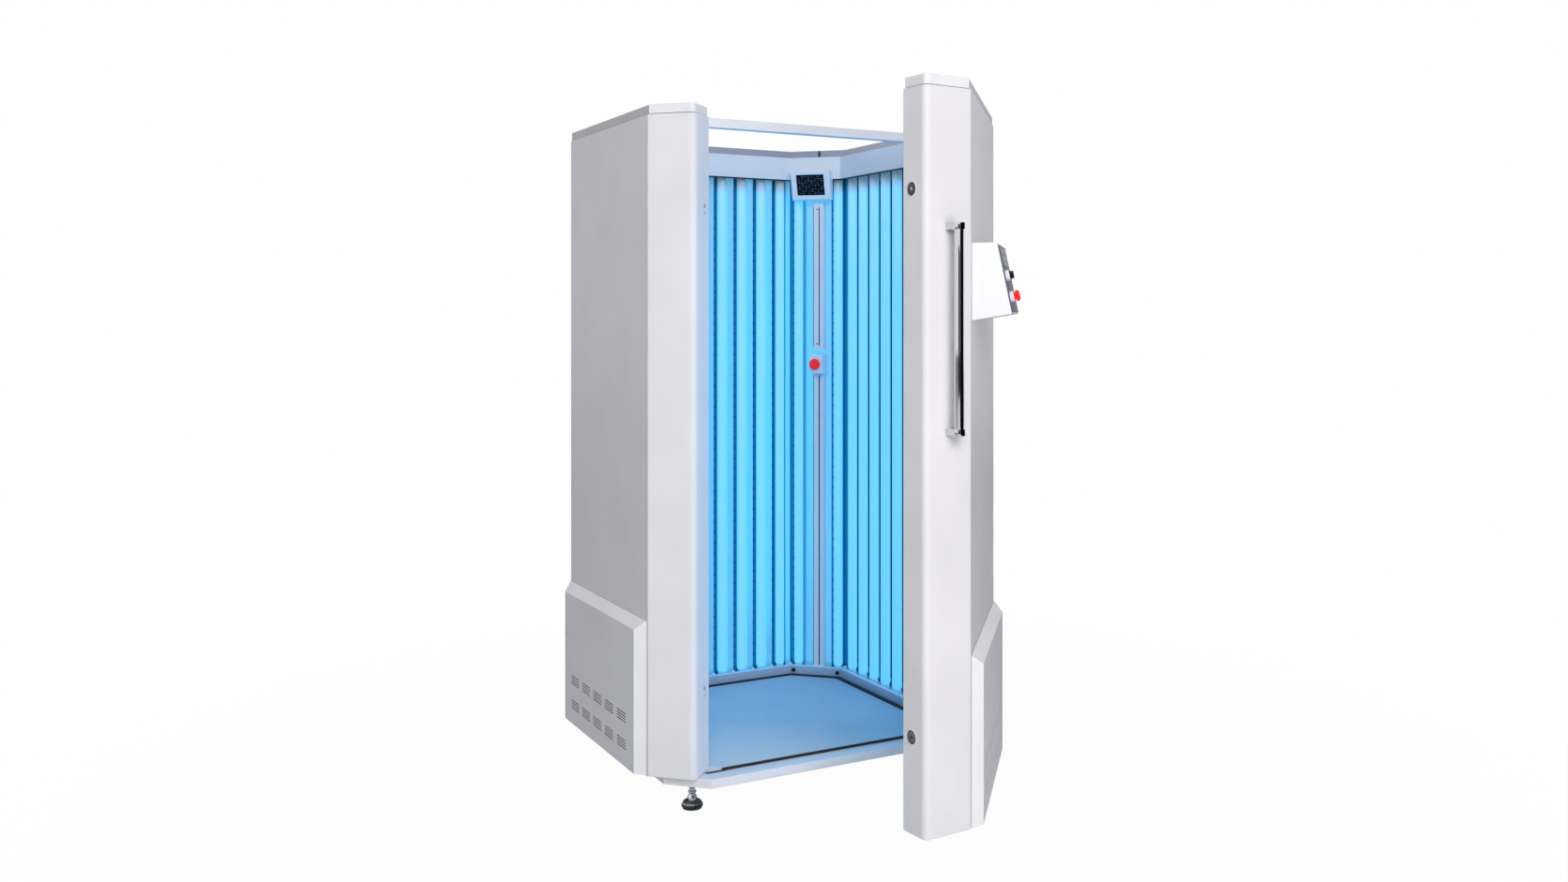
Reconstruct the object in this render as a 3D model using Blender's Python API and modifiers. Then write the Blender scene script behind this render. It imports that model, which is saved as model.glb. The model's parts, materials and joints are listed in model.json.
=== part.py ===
"""Phototherapy cabin: an eight-sided booth of lamp walls, one quarter of which is the hinged door.

The plan is a square turned by 45 degrees with its four corners cut off. Every wall is modelled in
a frame of its own: +X runs along the wall to the right as seen from outside, +Y points into the
cabin and +Z is up, with the origin in the middle of the outer face. Sizes are in metres.
"""
import math

import bmesh
import bpy
from mathutils import Matrix, Vector

# Plan and heights of the cabin
HALF_WIDTH = 0.647            # centre to the face of a cut corner
CORNER_HALF_FACE = 0.148      # half the width of that face
WALL_HEIGHT = 1.908           # outer panels and posts
WALL_DEPTH = 0.128            # outer skin to the inner face of rail and valance
GROUND_CLEARANCE = 0.079      # floor to the underside of the base
DOOR_OPEN_ANGLE = 49.75       # degrees from closed, as the part is stored

# Sheet metal and clearances
SHEET = 0.0015
BASE_SHEET = 0.002
COVER_SHEET = 0.0012
REFLECTOR_SHEET = 0.001
SEAT = 0.0003                 # between pieces that touch
PANEL_JOINT = 0.0004          # between the bolted flanges of neighbouring panels
DOOR_SEAM = 0.004             # joint between the closed door and the cabin
DOOR_LIFT = 0.003             # door underside above the posts' underside
FOLD_RADIUS = 0.003
SEAM_RADIUS = 0.018           # rounded post edge beside the door seam
RIM_RADIUS = 0.006            # rounded lower edge of the posts

# Base and floor
BASE_HEIGHT = 0.026
BASE_CORNER_INSET = 0.025
BASE_WALL_INSET = 0.045
SILL_INSET = 0.095
SILL_WIDTH = 0.060
FLOOR_THICKNESS = 0.007
FLOOR_MARGIN = 0.022          # floor panel edge to the rails
FLOOR_POST_GAP = 0.003        # floor panel edge to the posts

# Posts, panels and top
POST_DEPTH = 0.107
DOOR_POST_DEPTH = 0.096
PANEL_FLANGE = 0.058
VALANCE_DROP = 0.079
VALANCE_LAP = 0.018           # valance flange over the panel flange
CAP_HEIGHT = 0.027
CAP_INSET = 0.004
CAP_WIDTH = 0.100
LINTEL_HEIGHT = 0.027
LINTEL_DEPTH = 0.036
LINTEL_BELOW_TOP = 0.001

# Lamps, sockets and reflectors
LAMP_RADIUS = 0.019
LAMP_PITCH = 0.078
LAMP_END_ROOM = 0.030         # least room from a wall's outer lamp axis to the mitre
CORNER_LAMP_OFFSET = 0.076
LAMP_INSET = 0.090
LAMP_SIDES = 12
SOCKET_BITE = 0.005           # lamp end inside its socket rail
RAIL_BACK = 0.064
RAIL_HEIGHT = 0.037
LEDGE_WIDTH = 0.018
SOCKET_RAIL_HEIGHT = 0.028
TOP_RAIL_HEIGHT = 0.025
TOP_RAIL_COVER = 0.006        # top socket rail above the valance's lower edge
TROUGH_GAP = 0.003            # reflector trough behind the lamp
TROUGH_HALF = 0.015
TROUGH_RISE = 0.013
RIDGE_HALF = 0.009

# Control gear behind the vent covers
GEAR_PLATE_WIDTH = 0.480
GEAR_PLATE_HEIGHT = 0.360
GEAR_PLATE_THICKNESS = 0.002
GEAR_LIP = 0.002              # gear plate inside the panel flange edge
BALLASTS = 4
BALLAST_WIDTH = 0.080
BALLAST_HEIGHT = 0.300
BALLAST_DEPTH = 0.030
BALLAST_PITCH = 0.112
BALLAST_FOOT = 0.030

# Vent covers
COVER_HEIGHT = 0.444
COVER_LIFT = 0.003
COVER_DEPTH = 0.030
COVER_LIP = 0.003             # straight edge against the panel before the slope
COVER_MARGIN = 0.008
COVER_OPENING_WIDTH = 0.500
COVER_OPENING_HEIGHT = 0.300
COVER_OPENING_FOOT = 0.050
SLOT_LENGTH = 0.076
SLOT_HEIGHT = 0.003
SLOT_PITCH = 0.0082
SLOTS_PER_GROUP = 4
SLOT_GROUPS = 5
GROUP_PITCH = 0.107
ROW_HEIGHTS = (0.067, 0.146)

# Levelling feet, given in the frames of the four corners
FOOT_RADIUS = 0.0315
FOOT_BELL_HEIGHT = 0.024
FOOT_STEM_RADIUS = 0.008
FOOT_COLLAR_RADIUS = 0.0115
FOOT_COLLAR_HEIGHT = 0.012
FOOT_EASE = 0.003             # slope from collar to stem
FOOT_SEGMENTS = 16
FOOT_BOSS_RADIUS = 0.016
FOOT_STUD_RADIUS = 0.006      # threaded stud inside the boss
FOOT_STUD_LENGTH = 0.015
FOOT_BORE_RADIUS = 0.0063
FRONT_FOOT = (-0.043, 0.078)
INNER_FOOT = (0.0, 0.150)
RIGHT_FOOT = (0.060, 0.150)

# Door hinges
HINGE_STANDOFF = 0.012        # pin axis outside the corner face
HINGE_UP = 0.300
HINGE_BELOW_TOP = 0.348
HINGE_HEIGHTS = (HINGE_UP, WALL_HEIGHT - HINGE_BELOW_TOP)
KNUCKLE_RADIUS = 0.010
KNUCKLE_LENGTH = 0.055
PIN_RADIUS = 0.005
PIN_PLAY = 0.0004
LEAF_THICKNESS = 0.003
LEAF_WIDTH = 0.060
HINGE_SEGMENTS = 24

# Pull handle on the door's front post
HANDLE_FROM_SEAM = 0.080
HANDLE_STANDOFF = 0.037
HANDLE_LOW = 1.020
HANDLE_HIGH = 1.560
HANDLE_RADIUS = 0.0125
HANDLE_COLLAR = 0.0155
HANDLE_COLLAR_LENGTH = 0.018
HANDLE_FOOT_RADIUS = 0.009

# Catches in the door's seam face
CATCH_RADIUS = 0.020
CATCH_PROUD = 0.001
CATCH_BODY_RADIUS = 0.015
CATCH_BODY_DEPTH = 0.014
CATCH_HEIGHTS = (0.249, WALL_HEIGHT - 0.260)
CATCH_FROM_FRONT = 0.058

# Control box on the door panel: side profile and place
BOX_START = 0.035             # from the panel's front edge
BOX_WIDTH = 0.260
BOX_LOW = 1.312
BOX_LOW_RISE = 0.017
BOX_HIGH = 1.514
BOX_TOP_DEPTH = 0.065
BOX_LOW_DEPTH = 0.103
PLATE_THICKNESS = 0.002
PLATE_MARGIN = 0.006
SWITCH_FROM_START = 0.056
COLLAR_RADIUS = 0.0145
COLLAR_HEIGHT = 0.012
KEY_SHARE = 0.537             # of the way up the sloping plate
STOP_SHARE = 0.238
KEY_RADIUS = 0.0115
KEY_HEIGHT = 0.005
KEY_GRIP = (0.020, 0.007, 0.006)
STOP_RADIUS = 0.0145
STOP_HEAD_HEIGHT = 0.011
STOP_NECK_RADIUS = 0.010
STOP_TRAVEL = 0.004
STOP_ENTRY = 0.0015           # button neck inside its collar at rest
BUTTON_SEGMENTS = 20

# Rear corner: display, stop box and cable duct
DUCT_WIDTH = 0.040
DUCT_CENTRE = -0.008          # in the rear wall's frame, as seen from outside
DUCT_FRONT = 0.118            # inset of the duct's front face
UPPER_DUCT = (1.203, WALL_HEIGHT - 0.166)
STOP_BOX_HEIGHTS = (1.116, 1.186)
STOP_BOX_WIDTH = 0.052
STOP_BOX_FRONT = 0.150
INNER_STOP_RADIUS = 0.020
INNER_STOP_NECK = 0.012
INNER_COLLAR_RADIUS = 0.022
INNER_COLLAR_HEIGHT = 0.006
DISPLAY_WIDTH = 0.148
DISPLAY_CENTRE = 0.008
DISPLAY_HEIGHTS = (WALL_HEIGHT - 0.156, WALL_HEIGHT - 0.050)
DISPLAY_TOP_DEPTH = 0.052
DISPLAY_LOW_DEPTH = 0.020
DISPLAY_RADIUS = 0.004
SCREEN_SIZE = (0.104, 0.076)
SCREEN_RECESS = 0.003
SCREEN_PROUD = 0.001

# Values that follow from the ones above
ROOT2 = math.sqrt(2.0)
MITRE = math.tan(math.radians(22.5))
CORNER_REACH = HALF_WIDTH
WALL_REACH = (HALF_WIDTH + CORNER_HALF_FACE) / ROOT2
BASE_TOP = GROUND_CLEARANCE + BASE_HEIGHT
FOOT_LEVEL = BASE_TOP + SEAT
DOOR_LEVEL = FOOT_LEVEL + DOOR_LIFT
TOP_LEVEL = FOOT_LEVEL + WALL_HEIGHT
VALANCE_LOW = WALL_HEIGHT - VALANCE_DROP
TOP_RAIL_LOW = VALANCE_LOW + TOP_RAIL_COVER
HALF_SEAM = DOOR_SEAM / 2
HALF_JOINT = PANEL_JOINT / 2

# Turn of each wall's frame about the cabin's centre, in degrees from the front
TURNS = {"front": 0, "door": 45, "right": 90, "rear_right": 135,
         "rear": 180, "rear_left": 225, "left": 270, "front_left": 315}
CORNERS = ("front", "right", "rear", "left")

COLLECTION = "phototherapy_cabin"
CUTTERS = "cabin_cutters"


def corner_half(inset):
    """Half the length of a corner side at a depth inside its outer face."""
    return CORNER_HALF_FACE - MITRE * inset


def wall_half(inset):
    """Half the length of a diagonal side at a depth inside its outer face."""
    return (HALF_WIDTH - CORNER_HALF_FACE) / ROOT2 - MITRE * inset


def reach(side):
    """Distance from the cabin's centre to a side's outer face."""
    return CORNER_REACH if side in CORNERS else WALL_REACH


def side_line(side, inset):
    """Outward direction of a side and its distance from the centre at an inset."""
    turn = math.radians(TURNS[side])
    return Vector((math.sin(turn), -math.cos(turn))), reach(side) - inset


def meet(line_a, line_b):
    """Crossing point of two side lines."""
    (normal_a, far_a), (normal_b, far_b) = line_a, line_b
    scale = normal_a.x * normal_b.y - normal_a.y * normal_b.x
    return Vector(((far_a * normal_b.y - far_b * normal_a.y) / scale,
                   (normal_a.x * far_b - normal_b.x * far_a) / scale))


def side_path(sides, inset):
    """Crossings of neighbouring sides, all at one inset."""
    return [meet(side_line(a, inset), side_line(b, inset)) for a, b in zip(sides, sides[1:])]


def closed_outline(insets):
    """Eight-sided outline with an inset for each side."""
    sides = list(TURNS)
    lines = [side_line(side, insets[side]) for side in sides]
    return [meet(lines[i - 1], lines[i]) for i in range(len(lines))]


def collection(name):
    """Collection of the given name, linked to the scene."""
    found = bpy.data.collections.get(name)
    if found is None:
        found = bpy.data.collections.new(name)
        bpy.context.scene.collection.children.link(found)
    return found


def material(name, colour, roughness, metallic=0.0):
    """Principled material with a plain colour."""
    made = bpy.data.materials.new(name)
    made.use_nodes = True
    shader = made.node_tree.nodes["Principled BSDF"]
    shader.inputs["Base Color"].default_value = (*colour, 1.0)
    shader.inputs["Roughness"].default_value = roughness
    shader.inputs["Metallic"].default_value = metallic
    return made


def empty(name, parent=None, location=(0, 0, 0), turn=0.0):
    """Empty that carries the pieces of one wall or one moving body."""
    made = bpy.data.objects.new(name, None)
    collection(COLLECTION).objects.link(made)
    made.parent = parent
    made.location = location
    made.rotation_euler = (0, 0, math.radians(turn))
    return made


def piece(name, mesh, parent, finish, smooth_angle=None):
    """Named part object from a bmesh, parented to the frame that it is modelled in."""
    data = bpy.data.meshes.new(name)
    bmesh.ops.recalc_face_normals(mesh, faces=mesh.faces)
    mesh.to_mesh(data)
    mesh.free()
    if smooth_angle is not None:
        data.shade_smooth()
        data.set_sharp_from_angle(angle=math.radians(smooth_angle))
    data.materials.append(finish)
    made = bpy.data.objects.new(name, data)
    collection(COLLECTION).objects.link(made)
    made.parent = parent
    return made


def tool(name, mesh, parent):
    """Hidden operand of a Boolean, in the same frame as its target."""
    data = bpy.data.meshes.new(name)
    bmesh.ops.recalc_face_normals(mesh, faces=mesh.faces)
    mesh.to_mesh(data)
    mesh.free()
    made = bpy.data.objects.new(name, data)
    collection(CUTTERS).objects.link(made)
    made.parent = parent
    made.hide_render = True
    made.display_type = "WIRE"
    return made


def combine(target, operand, operation):
    """Boolean of a part with a hidden operand."""
    step = target.modifiers.new(operand.name, "BOOLEAN")
    step.operation = operation
    step.object = operand
    step.solver = "EXACT"


def sheet(target, thickness):
    """Give an open surface its sheet thickness, inwards."""
    wall = target.modifiers.new("sheet", "SOLIDIFY")
    wall.thickness = thickness
    wall.offset = -1.0
    wall.use_even_offset = True


def prism(outline, low, high):
    """Upright solid on a plan outline that runs anticlockwise."""
    mesh = bmesh.new()
    floor = mesh.faces.new([mesh.verts.new((x, y, low)) for x, y in outline])
    raised = bmesh.ops.extrude_face_region(mesh, geom=[floor])
    lifted = [item for item in raised["geom"] if isinstance(item, bmesh.types.BMVert)]
    bmesh.ops.translate(mesh, verts=lifted, vec=(0, 0, high - low))
    bmesh.ops.recalc_face_normals(mesh, faces=mesh.faces)
    return mesh


def add_block(mesh, size, centre):
    """Add a rectangular block to a bmesh."""
    place = Matrix.Translation(centre) @ Matrix.Diagonal((*size, 1.0))
    return bmesh.ops.create_cube(mesh, size=1.0, matrix=place)["verts"]


def add_cylinder(mesh, radius, low, high, place=(0, 0), sides=LAMP_SIDES, frame=None):
    """Add a capped upright cylinder to a bmesh, or one in a turned frame."""
    shift = Matrix.Translation((place[0], place[1], (low + high) / 2))
    bmesh.ops.create_cone(mesh, cap_ends=True, segments=sides, radius1=radius, radius2=radius,
                          depth=high - low, matrix=(frame @ shift) if frame else shift)


def bevel(mesh, edges, radius, segments):
    """Round the given edges."""
    bmesh.ops.bevel(mesh, geom=edges, offset=radius, segments=segments, profile=0.5,
                    affect="EDGES", material=-1, clamp_overlap=True)


def upright_edges(mesh, points):
    """Vertical edges that stand on the given plan points."""
    found = []
    for edge in mesh.edges:
        a, b = (vert.co for vert in edge.verts)
        if (a.xy - b.xy).length < 1e-6 and any((a.xy - Vector(p)).length < 1e-5 for p in points):
            found.append(edge)
    return found


def wall_faces(mesh, start, end):
    """Upright faces that lie on the plan line from start to end."""
    along = (Vector(end) - Vector(start)).normalized()
    across = Vector((along.y, -along.x))
    return [face for face in mesh.faces
            if abs(face.normal.xy.dot(across)) > 0.999
            and abs((face.calc_center_median().xy - Vector(start)).dot(across)) < 1e-5]


def level_faces(mesh, height):
    """Level faces at a height."""
    return [face for face in mesh.faces
            if abs(face.normal.z) > 0.999 and abs(face.calc_center_median().z - height) < 1e-6]


def rim_edges(mesh, height, open_faces):
    """Edges of the level face at a height, apart from those of walls that will be opened."""
    skipped = {edge for face in open_faces for edge in face.edges}
    return [edge for face in level_faces(mesh, height) for edge in face.edges if edge not in skipped]


def tray(outline, low, high, open_sides=(), open_low=False, open_high=False,
         rounded=(), top_radius=0.0, low_radius=0.0):
    """Folded sheet surface on a plan outline, with some sides left open.

    rounded pairs a plan point with the radius of the fold that stands on it.
    """
    mesh = prism(outline, low, high)
    for point, radius in rounded:
        bevel(mesh, upright_edges(mesh, [point]), radius, 4 if radius > RIM_RADIUS else 2)
    count = len(outline)
    opened = [face for i in open_sides
              for face in wall_faces(mesh, outline[i], outline[(i + 1) % count])]
    if top_radius and not open_high:
        bevel(mesh, rim_edges(mesh, high, opened), top_radius, 2)
    if low_radius and not open_low:
        opened = [face for i in open_sides
                  for face in wall_faces(mesh, outline[i], outline[(i + 1) % count])]
        bevel(mesh, rim_edges(mesh, low, opened), low_radius, 2)
    gone = [face for i in open_sides
            for face in wall_faces(mesh, outline[i], outline[(i + 1) % count])]
    gone += level_faces(mesh, low) if open_low else []
    gone += level_faces(mesh, high) if open_high else []
    bmesh.ops.delete(mesh, geom=gone, context="FACES")
    return mesh


def mitred_bar(profile, half, clearance):
    """Bar along a wall with its ends cut on the mitre planes; profile is (inset, height)."""
    mesh = bmesh.new()
    start = mesh.faces.new([mesh.verts.new((clearance - half(y), y, z)) for y, z in profile])
    far = bmesh.ops.extrude_face_region(mesh, geom=[start])["geom"]
    for vert in (item for item in far if isinstance(item, bmesh.types.BMVert)):
        vert.co.x = half(vert.co.y) - clearance
    bmesh.ops.recalc_face_normals(mesh, faces=mesh.faces)
    return mesh


def side_bar(profile, left, right):
    """Square-cut bar along a wall; profile is (inset, height)."""
    mesh = bmesh.new()
    start = mesh.faces.new([mesh.verts.new((left, y, z)) for y, z in profile])
    far = bmesh.ops.extrude_face_region(mesh, geom=[start])["geom"]
    verts = [item for item in far if isinstance(item, bmesh.types.BMVert)]
    bmesh.ops.translate(mesh, verts=verts, vec=(right - left, 0, 0))
    bmesh.ops.recalc_face_normals(mesh, faces=mesh.faces)
    return mesh


def turned(name, profile, parent, finish, segments, frame=None):
    """Turned piece from a (radius, height) profile that runs from the top axis to the lower axis."""
    data = bpy.data.meshes.new(name)
    mesh = bmesh.new()
    verts = [mesh.verts.new((radius, 0, height)) for radius, height in profile]
    for a, b in zip(verts, verts[1:]):
        mesh.edges.new((a, b))
    mesh.to_mesh(data)
    mesh.free()
    data.materials.append(finish)
    made = bpy.data.objects.new(name, data)
    collection(COLLECTION).objects.link(made)
    made.parent = parent
    if frame is not None:
        made.matrix_local = frame
    spin = made.modifiers.new("turn", "SCREW")
    spin.steps = segments
    spin.render_steps = segments
    spin.use_merge_vertices = True
    spin.merge_threshold = 0.0001
    return made


def build_finishes():
    """Finishes of the cabin's pieces."""
    return {
        "white_paint": material("white_paint", (0.80, 0.79, 0.81), 0.45),
        "floor_paint": material("floor_paint", (0.62, 0.66, 0.70), 0.55),
        "lamp_glass": material("lamp_glass", (0.25, 0.68, 0.95), 0.25),
        "bright_aluminium": material("bright_aluminium", (0.75, 0.78, 0.82), 0.25, 1.0),
        "zinc_steel": material("zinc_steel", (0.55, 0.56, 0.58), 0.40, 1.0),
        "chrome": material("chrome", (0.80, 0.81, 0.83), 0.08, 1.0),
        "black_plastic": material("black_plastic", (0.02, 0.02, 0.022), 0.45),
        "white_plastic": material("white_plastic", (0.82, 0.83, 0.86), 0.40),
        "grey_plastic": material("grey_plastic", (0.22, 0.22, 0.26), 0.50),
        "dark_glass": material("dark_glass", (0.01, 0.012, 0.016), 0.10),
        "red_plastic": material("red_plastic", (0.75, 0.02, 0.02), 0.35),
    }


def build_base(root, finish):
    """Folded base with its foot bosses, the floor panel and the four levelling feet."""
    insets = {side: BASE_CORNER_INSET if side in CORNERS else BASE_WALL_INSET for side in TURNS}
    insets["door"] = SILL_INSET
    outline = closed_outline(insets)
    base = piece("base_frame", tray(outline, GROUND_CLEARANCE, BASE_TOP, open_low=True,
                                    top_radius=BASE_SHEET), root, finish["white_paint"])
    sheet(base, BASE_SHEET)
    places = {"front": FRONT_FOOT, "left": INNER_FOOT, "rear": INNER_FOOT, "right": RIGHT_FOOT}
    bosses = bmesh.new()
    bores = bmesh.new()
    for side, (along, inset) in places.items():
        spot = wall_point(side, along, inset)
        add_cylinder(bosses, FOOT_BOSS_RADIUS, GROUND_CLEARANCE, BASE_TOP - BASE_SHEET / 2, spot,
                     FOOT_SEGMENTS)
        add_cylinder(bores, FOOT_BORE_RADIUS, GROUND_CLEARANCE - FOOT_STUD_LENGTH,
                     GROUND_CLEARANCE + FOOT_STUD_LENGTH + SHEET, spot, FOOT_SEGMENTS)
        foot_axis = empty(f"{side}_foot_axis", root, (*spot, 0))
        turned(f"{side}_foot", foot_profile(), foot_axis, finish["black_plastic"], FOOT_SEGMENTS)
    combine(base, tool("foot_bosses", bosses, root), "UNION")
    combine(base, tool("foot_bores", bores, root), "DIFFERENCE")

    floor_insets = {side: WALL_DEPTH + FLOOR_MARGIN for side in TURNS}
    floor_insets["door"] = SILL_INSET + SILL_WIDTH
    floor_insets["front"] = floor_insets["right"] = POST_DEPTH + FLOOR_POST_GAP
    floor = prism(closed_outline(floor_insets), FOOT_LEVEL, FOOT_LEVEL + FLOOR_THICKNESS)
    piece("floor_panel", floor, root, finish["floor_paint"])


def wall_point(side, along, inset):
    """Plan point of a place given along a wall and inside its outer face."""
    turn = math.radians(TURNS[side])
    normal = Vector((math.sin(turn), -math.cos(turn)))
    tangent = Vector((math.cos(turn), math.sin(turn)))
    return normal * (reach(side) - inset) + tangent * along


def foot_profile():
    """Half section of a levelling foot: threaded stem, nut collar and bell."""
    top = GROUND_CLEARANCE - SEAT
    neck = FOOT_BELL_HEIGHT + FOOT_COLLAR_HEIGHT
    nut_low = top - FOOT_COLLAR_HEIGHT
    stud = top + FOOT_STUD_LENGTH
    return [(0, stud), (FOOT_STUD_RADIUS, stud), (FOOT_STUD_RADIUS, top),
            (FOOT_COLLAR_RADIUS, top), (FOOT_COLLAR_RADIUS, nut_low),
            (FOOT_STEM_RADIUS, nut_low - FOOT_EASE), (FOOT_STEM_RADIUS, neck + 2 * FOOT_EASE),
            (FOOT_COLLAR_RADIUS, neck), (FOOT_COLLAR_RADIUS, FOOT_BELL_HEIGHT),
            (FOOT_RADIUS * 0.80, FOOT_BELL_HEIGHT - FOOT_EASE),
            (FOOT_RADIUS, FOOT_BELL_HEIGHT * 0.55),
            (FOOT_RADIUS, FOOT_BELL_HEIGHT * 0.25), (FOOT_RADIUS * 0.92, 0), (0, 0)]


def build_panel(name, frame, half, finish, with_opening):
    """Outer panel of a wall: a shallow folded tray that is open to the inside."""
    outline = [(HALF_JOINT - half(0), 0), (half(0) - HALF_JOINT, 0),
               (half(PANEL_FLANGE) - HALF_JOINT, PANEL_FLANGE),
               (HALF_JOINT - half(PANEL_FLANGE), PANEL_FLANGE)]
    folds = [(outline[0], FOLD_RADIUS), (outline[1], FOLD_RADIUS)]
    panel = piece(name, tray(outline, 0, WALL_HEIGHT, open_sides=(2,), rounded=folds), frame,
                  finish["white_paint"])
    sheet(panel, SHEET)
    if with_opening:
        hole = bmesh.new()
        middle = COVER_OPENING_FOOT + COVER_OPENING_HEIGHT / 2
        add_block(hole, (COVER_OPENING_WIDTH, 4 * SHEET, COVER_OPENING_HEIGHT), (0, SHEET, middle))
        combine(panel, tool(f"{name}_opening", hole, frame), "DIFFERENCE")
    return panel


def build_post(name, frame, hand, depth, finish):
    """Post beside a door seam: a deep folded tray, open towards its panel. hand is -1 or 1."""
    outline = [(-corner_half(SHEET) + HALF_JOINT, 0), (-HALF_SEAM, 0), (-HALF_SEAM, depth),
               (-corner_half(depth) + HALF_JOINT, depth)]
    seam, back, open_side = outline[1], outline[2], 3
    if hand > 0:
        outline = [(-x, y) for x, y in reversed(outline)]
        seam, back, open_side = outline[2], outline[1], 3
    folds = [(seam, SEAM_RADIUS), (back, FOLD_RADIUS)]
    post = piece(name, tray(outline, 0, WALL_HEIGHT, open_sides=(open_side,), rounded=folds,
                            low_radius=RIM_RADIUS), frame, finish["white_paint"])
    sheet(post, SHEET)
    return post


def lamp_places(side):
    """Places of the lamps along a wall, which has as many as its length holds."""
    if side in CORNERS:
        return [-CORNER_LAMP_OFFSET, CORNER_LAMP_OFFSET]
    room = 2 * (wall_half(LAMP_INSET) - LAMP_END_ROOM)
    count = 1 + int(room / LAMP_PITCH)
    return [(i - (count - 1) / 2) * LAMP_PITCH for i in range(count)]


def build_lamps(name, frame, side, finish):
    """Lamps of one wall, fused with the lower and upper socket rails that carry them."""
    half = corner_half if side in CORNERS else wall_half
    ledge = WALL_DEPTH - LEDGE_WIDTH
    lower = [(RAIL_BACK, 0), (WALL_DEPTH, 0), (WALL_DEPTH, RAIL_HEIGHT), (ledge, RAIL_HEIGHT),
             (ledge, SOCKET_RAIL_HEIGHT), (RAIL_BACK, SOCKET_RAIL_HEIGHT)]
    front = WALL_DEPTH - SHEET - SEAT
    top = TOP_RAIL_LOW + TOP_RAIL_HEIGHT
    upper = [(RAIL_BACK, TOP_RAIL_LOW), (front, TOP_RAIL_LOW), (front, top), (RAIL_BACK, top)]
    bank = piece(name, mitred_bar(lower, half, HALF_JOINT), frame, finish["lamp_glass"])
    tubes = bmesh.new()
    for along in lamp_places(side):
        add_cylinder(tubes, LAMP_RADIUS, SOCKET_RAIL_HEIGHT - SOCKET_BITE,
                     TOP_RAIL_LOW + SOCKET_BITE, (along, LAMP_INSET))
    combine(bank, tool(f"{name}_tubes", tubes, frame), "UNION")
    combine(bank, tool(f"{name}_top_rail", mitred_bar(upper, half, HALF_JOINT), frame), "UNION")


def build_reflector(name, frame, side, finish):
    """Bright reflector with a trough behind each lamp and a raised strip between lamps."""
    half = corner_half if side in CORNERS else wall_half
    back = LAMP_INSET - LAMP_RADIUS - TROUGH_GAP
    ridge = back + TROUGH_RISE
    section = [(HALF_JOINT - half(ridge), ridge)]
    for along in lamp_places(side):
        rise = TROUGH_HALF + TROUGH_RISE
        section += [(along - rise, ridge), (along - TROUGH_HALF, back),
                    (along + TROUGH_HALF, back), (along + rise, ridge)]
    section.append((half(ridge) - HALF_JOINT, ridge))
    rear = [(x, y - REFLECTOR_SHEET) for x, y in section]
    mesh = prism(rear + section[::-1], SOCKET_RAIL_HEIGHT + SEAT, TOP_RAIL_LOW - SEAT)
    piece(name, mesh, frame, finish["bright_aluminium"])


def build_gear(name, frame, finish):
    """Plate of ballasts inside the panel, behind the vent cover."""
    foot = SHEET + SEAT
    back = PANEL_FLANGE - GEAR_LIP
    mesh = bmesh.new()
    add_block(mesh, (GEAR_PLATE_WIDTH, GEAR_PLATE_THICKNESS, GEAR_PLATE_HEIGHT),
              (0, back - GEAR_PLATE_THICKNESS / 2, foot + GEAR_PLATE_HEIGHT / 2))
    plate = piece(name, mesh, frame, finish["zinc_steel"])
    ballasts = bmesh.new()
    depth = BALLAST_DEPTH + GEAR_PLATE_THICKNESS / 2
    for i in range(BALLASTS):
        along = (i - (BALLASTS - 1) / 2) * BALLAST_PITCH
        middle = back - GEAR_PLATE_THICKNESS / 2 - depth / 2
        add_block(ballasts, (BALLAST_WIDTH, depth, BALLAST_HEIGHT),
                  (along, middle, foot + BALLAST_FOOT + BALLAST_HEIGHT / 2))
    combine(plate, tool(f"{name}_ballasts", ballasts, frame), "UNION")


def build_cover(name, frame, finish):
    """Raised vent cover with sloping edges and two rows of slot groups."""
    half = wall_half(0) - COVER_MARGIN
    low, high = COVER_LIFT, COVER_LIFT + COVER_HEIGHT
    mesh = bmesh.new()
    corners = ((-half, low), (half, low), (half, high), (-half, high))
    face = mesh.faces.new([mesh.verts.new((x, -SEAT, z)) for x, z in corners])
    for rise, slope in ((COVER_LIP, 0.0), (COVER_DEPTH - COVER_LIP, COVER_DEPTH - COVER_LIP)):
        below = face
        raised = bmesh.ops.extrude_face_region(mesh, geom=[below])["geom"]
        face = next(item for item in raised if isinstance(item, bmesh.types.BMFace))
        bmesh.ops.delete(mesh, geom=[below], context="FACES_ONLY")
        for vert in face.verts:
            vert.co.y -= rise
            vert.co.x -= math.copysign(slope, vert.co.x)
            vert.co.z -= slope if vert.co.z > low + SEAT else 0.0
    cover = piece(name, mesh, frame, finish["white_paint"])
    sheet(cover, COVER_SHEET)
    slots = bmesh.new()
    for row in ROW_HEIGHTS:
        for group in range(SLOT_GROUPS):
            along = (group - (SLOT_GROUPS - 1) / 2) * GROUP_PITCH
            for slot in range(SLOTS_PER_GROUP):
                height = row + (slot - (SLOTS_PER_GROUP - 1) / 2) * SLOT_PITCH
                add_block(slots, (SLOT_LENGTH, 6 * COVER_SHEET, SLOT_HEIGHT),
                          (along, -SEAT - COVER_DEPTH, height))
    combine(cover, tool(f"{name}_slots", slots, frame), "DIFFERENCE")


def build_wall(side, frame, finish):
    """Panel, cover, control gear, reflector and lamps of a diagonal wall."""
    build_panel(f"{side}_panel", frame, wall_half, finish, with_opening=True)
    build_cover(f"{side}_vent_cover", frame, finish)
    build_gear(f"{side}_ballast_tray", frame, finish)
    build_reflector(f"{side}_reflector", frame, side, finish)
    build_lamps(f"{side}_lamps", frame, side, finish)


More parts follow.
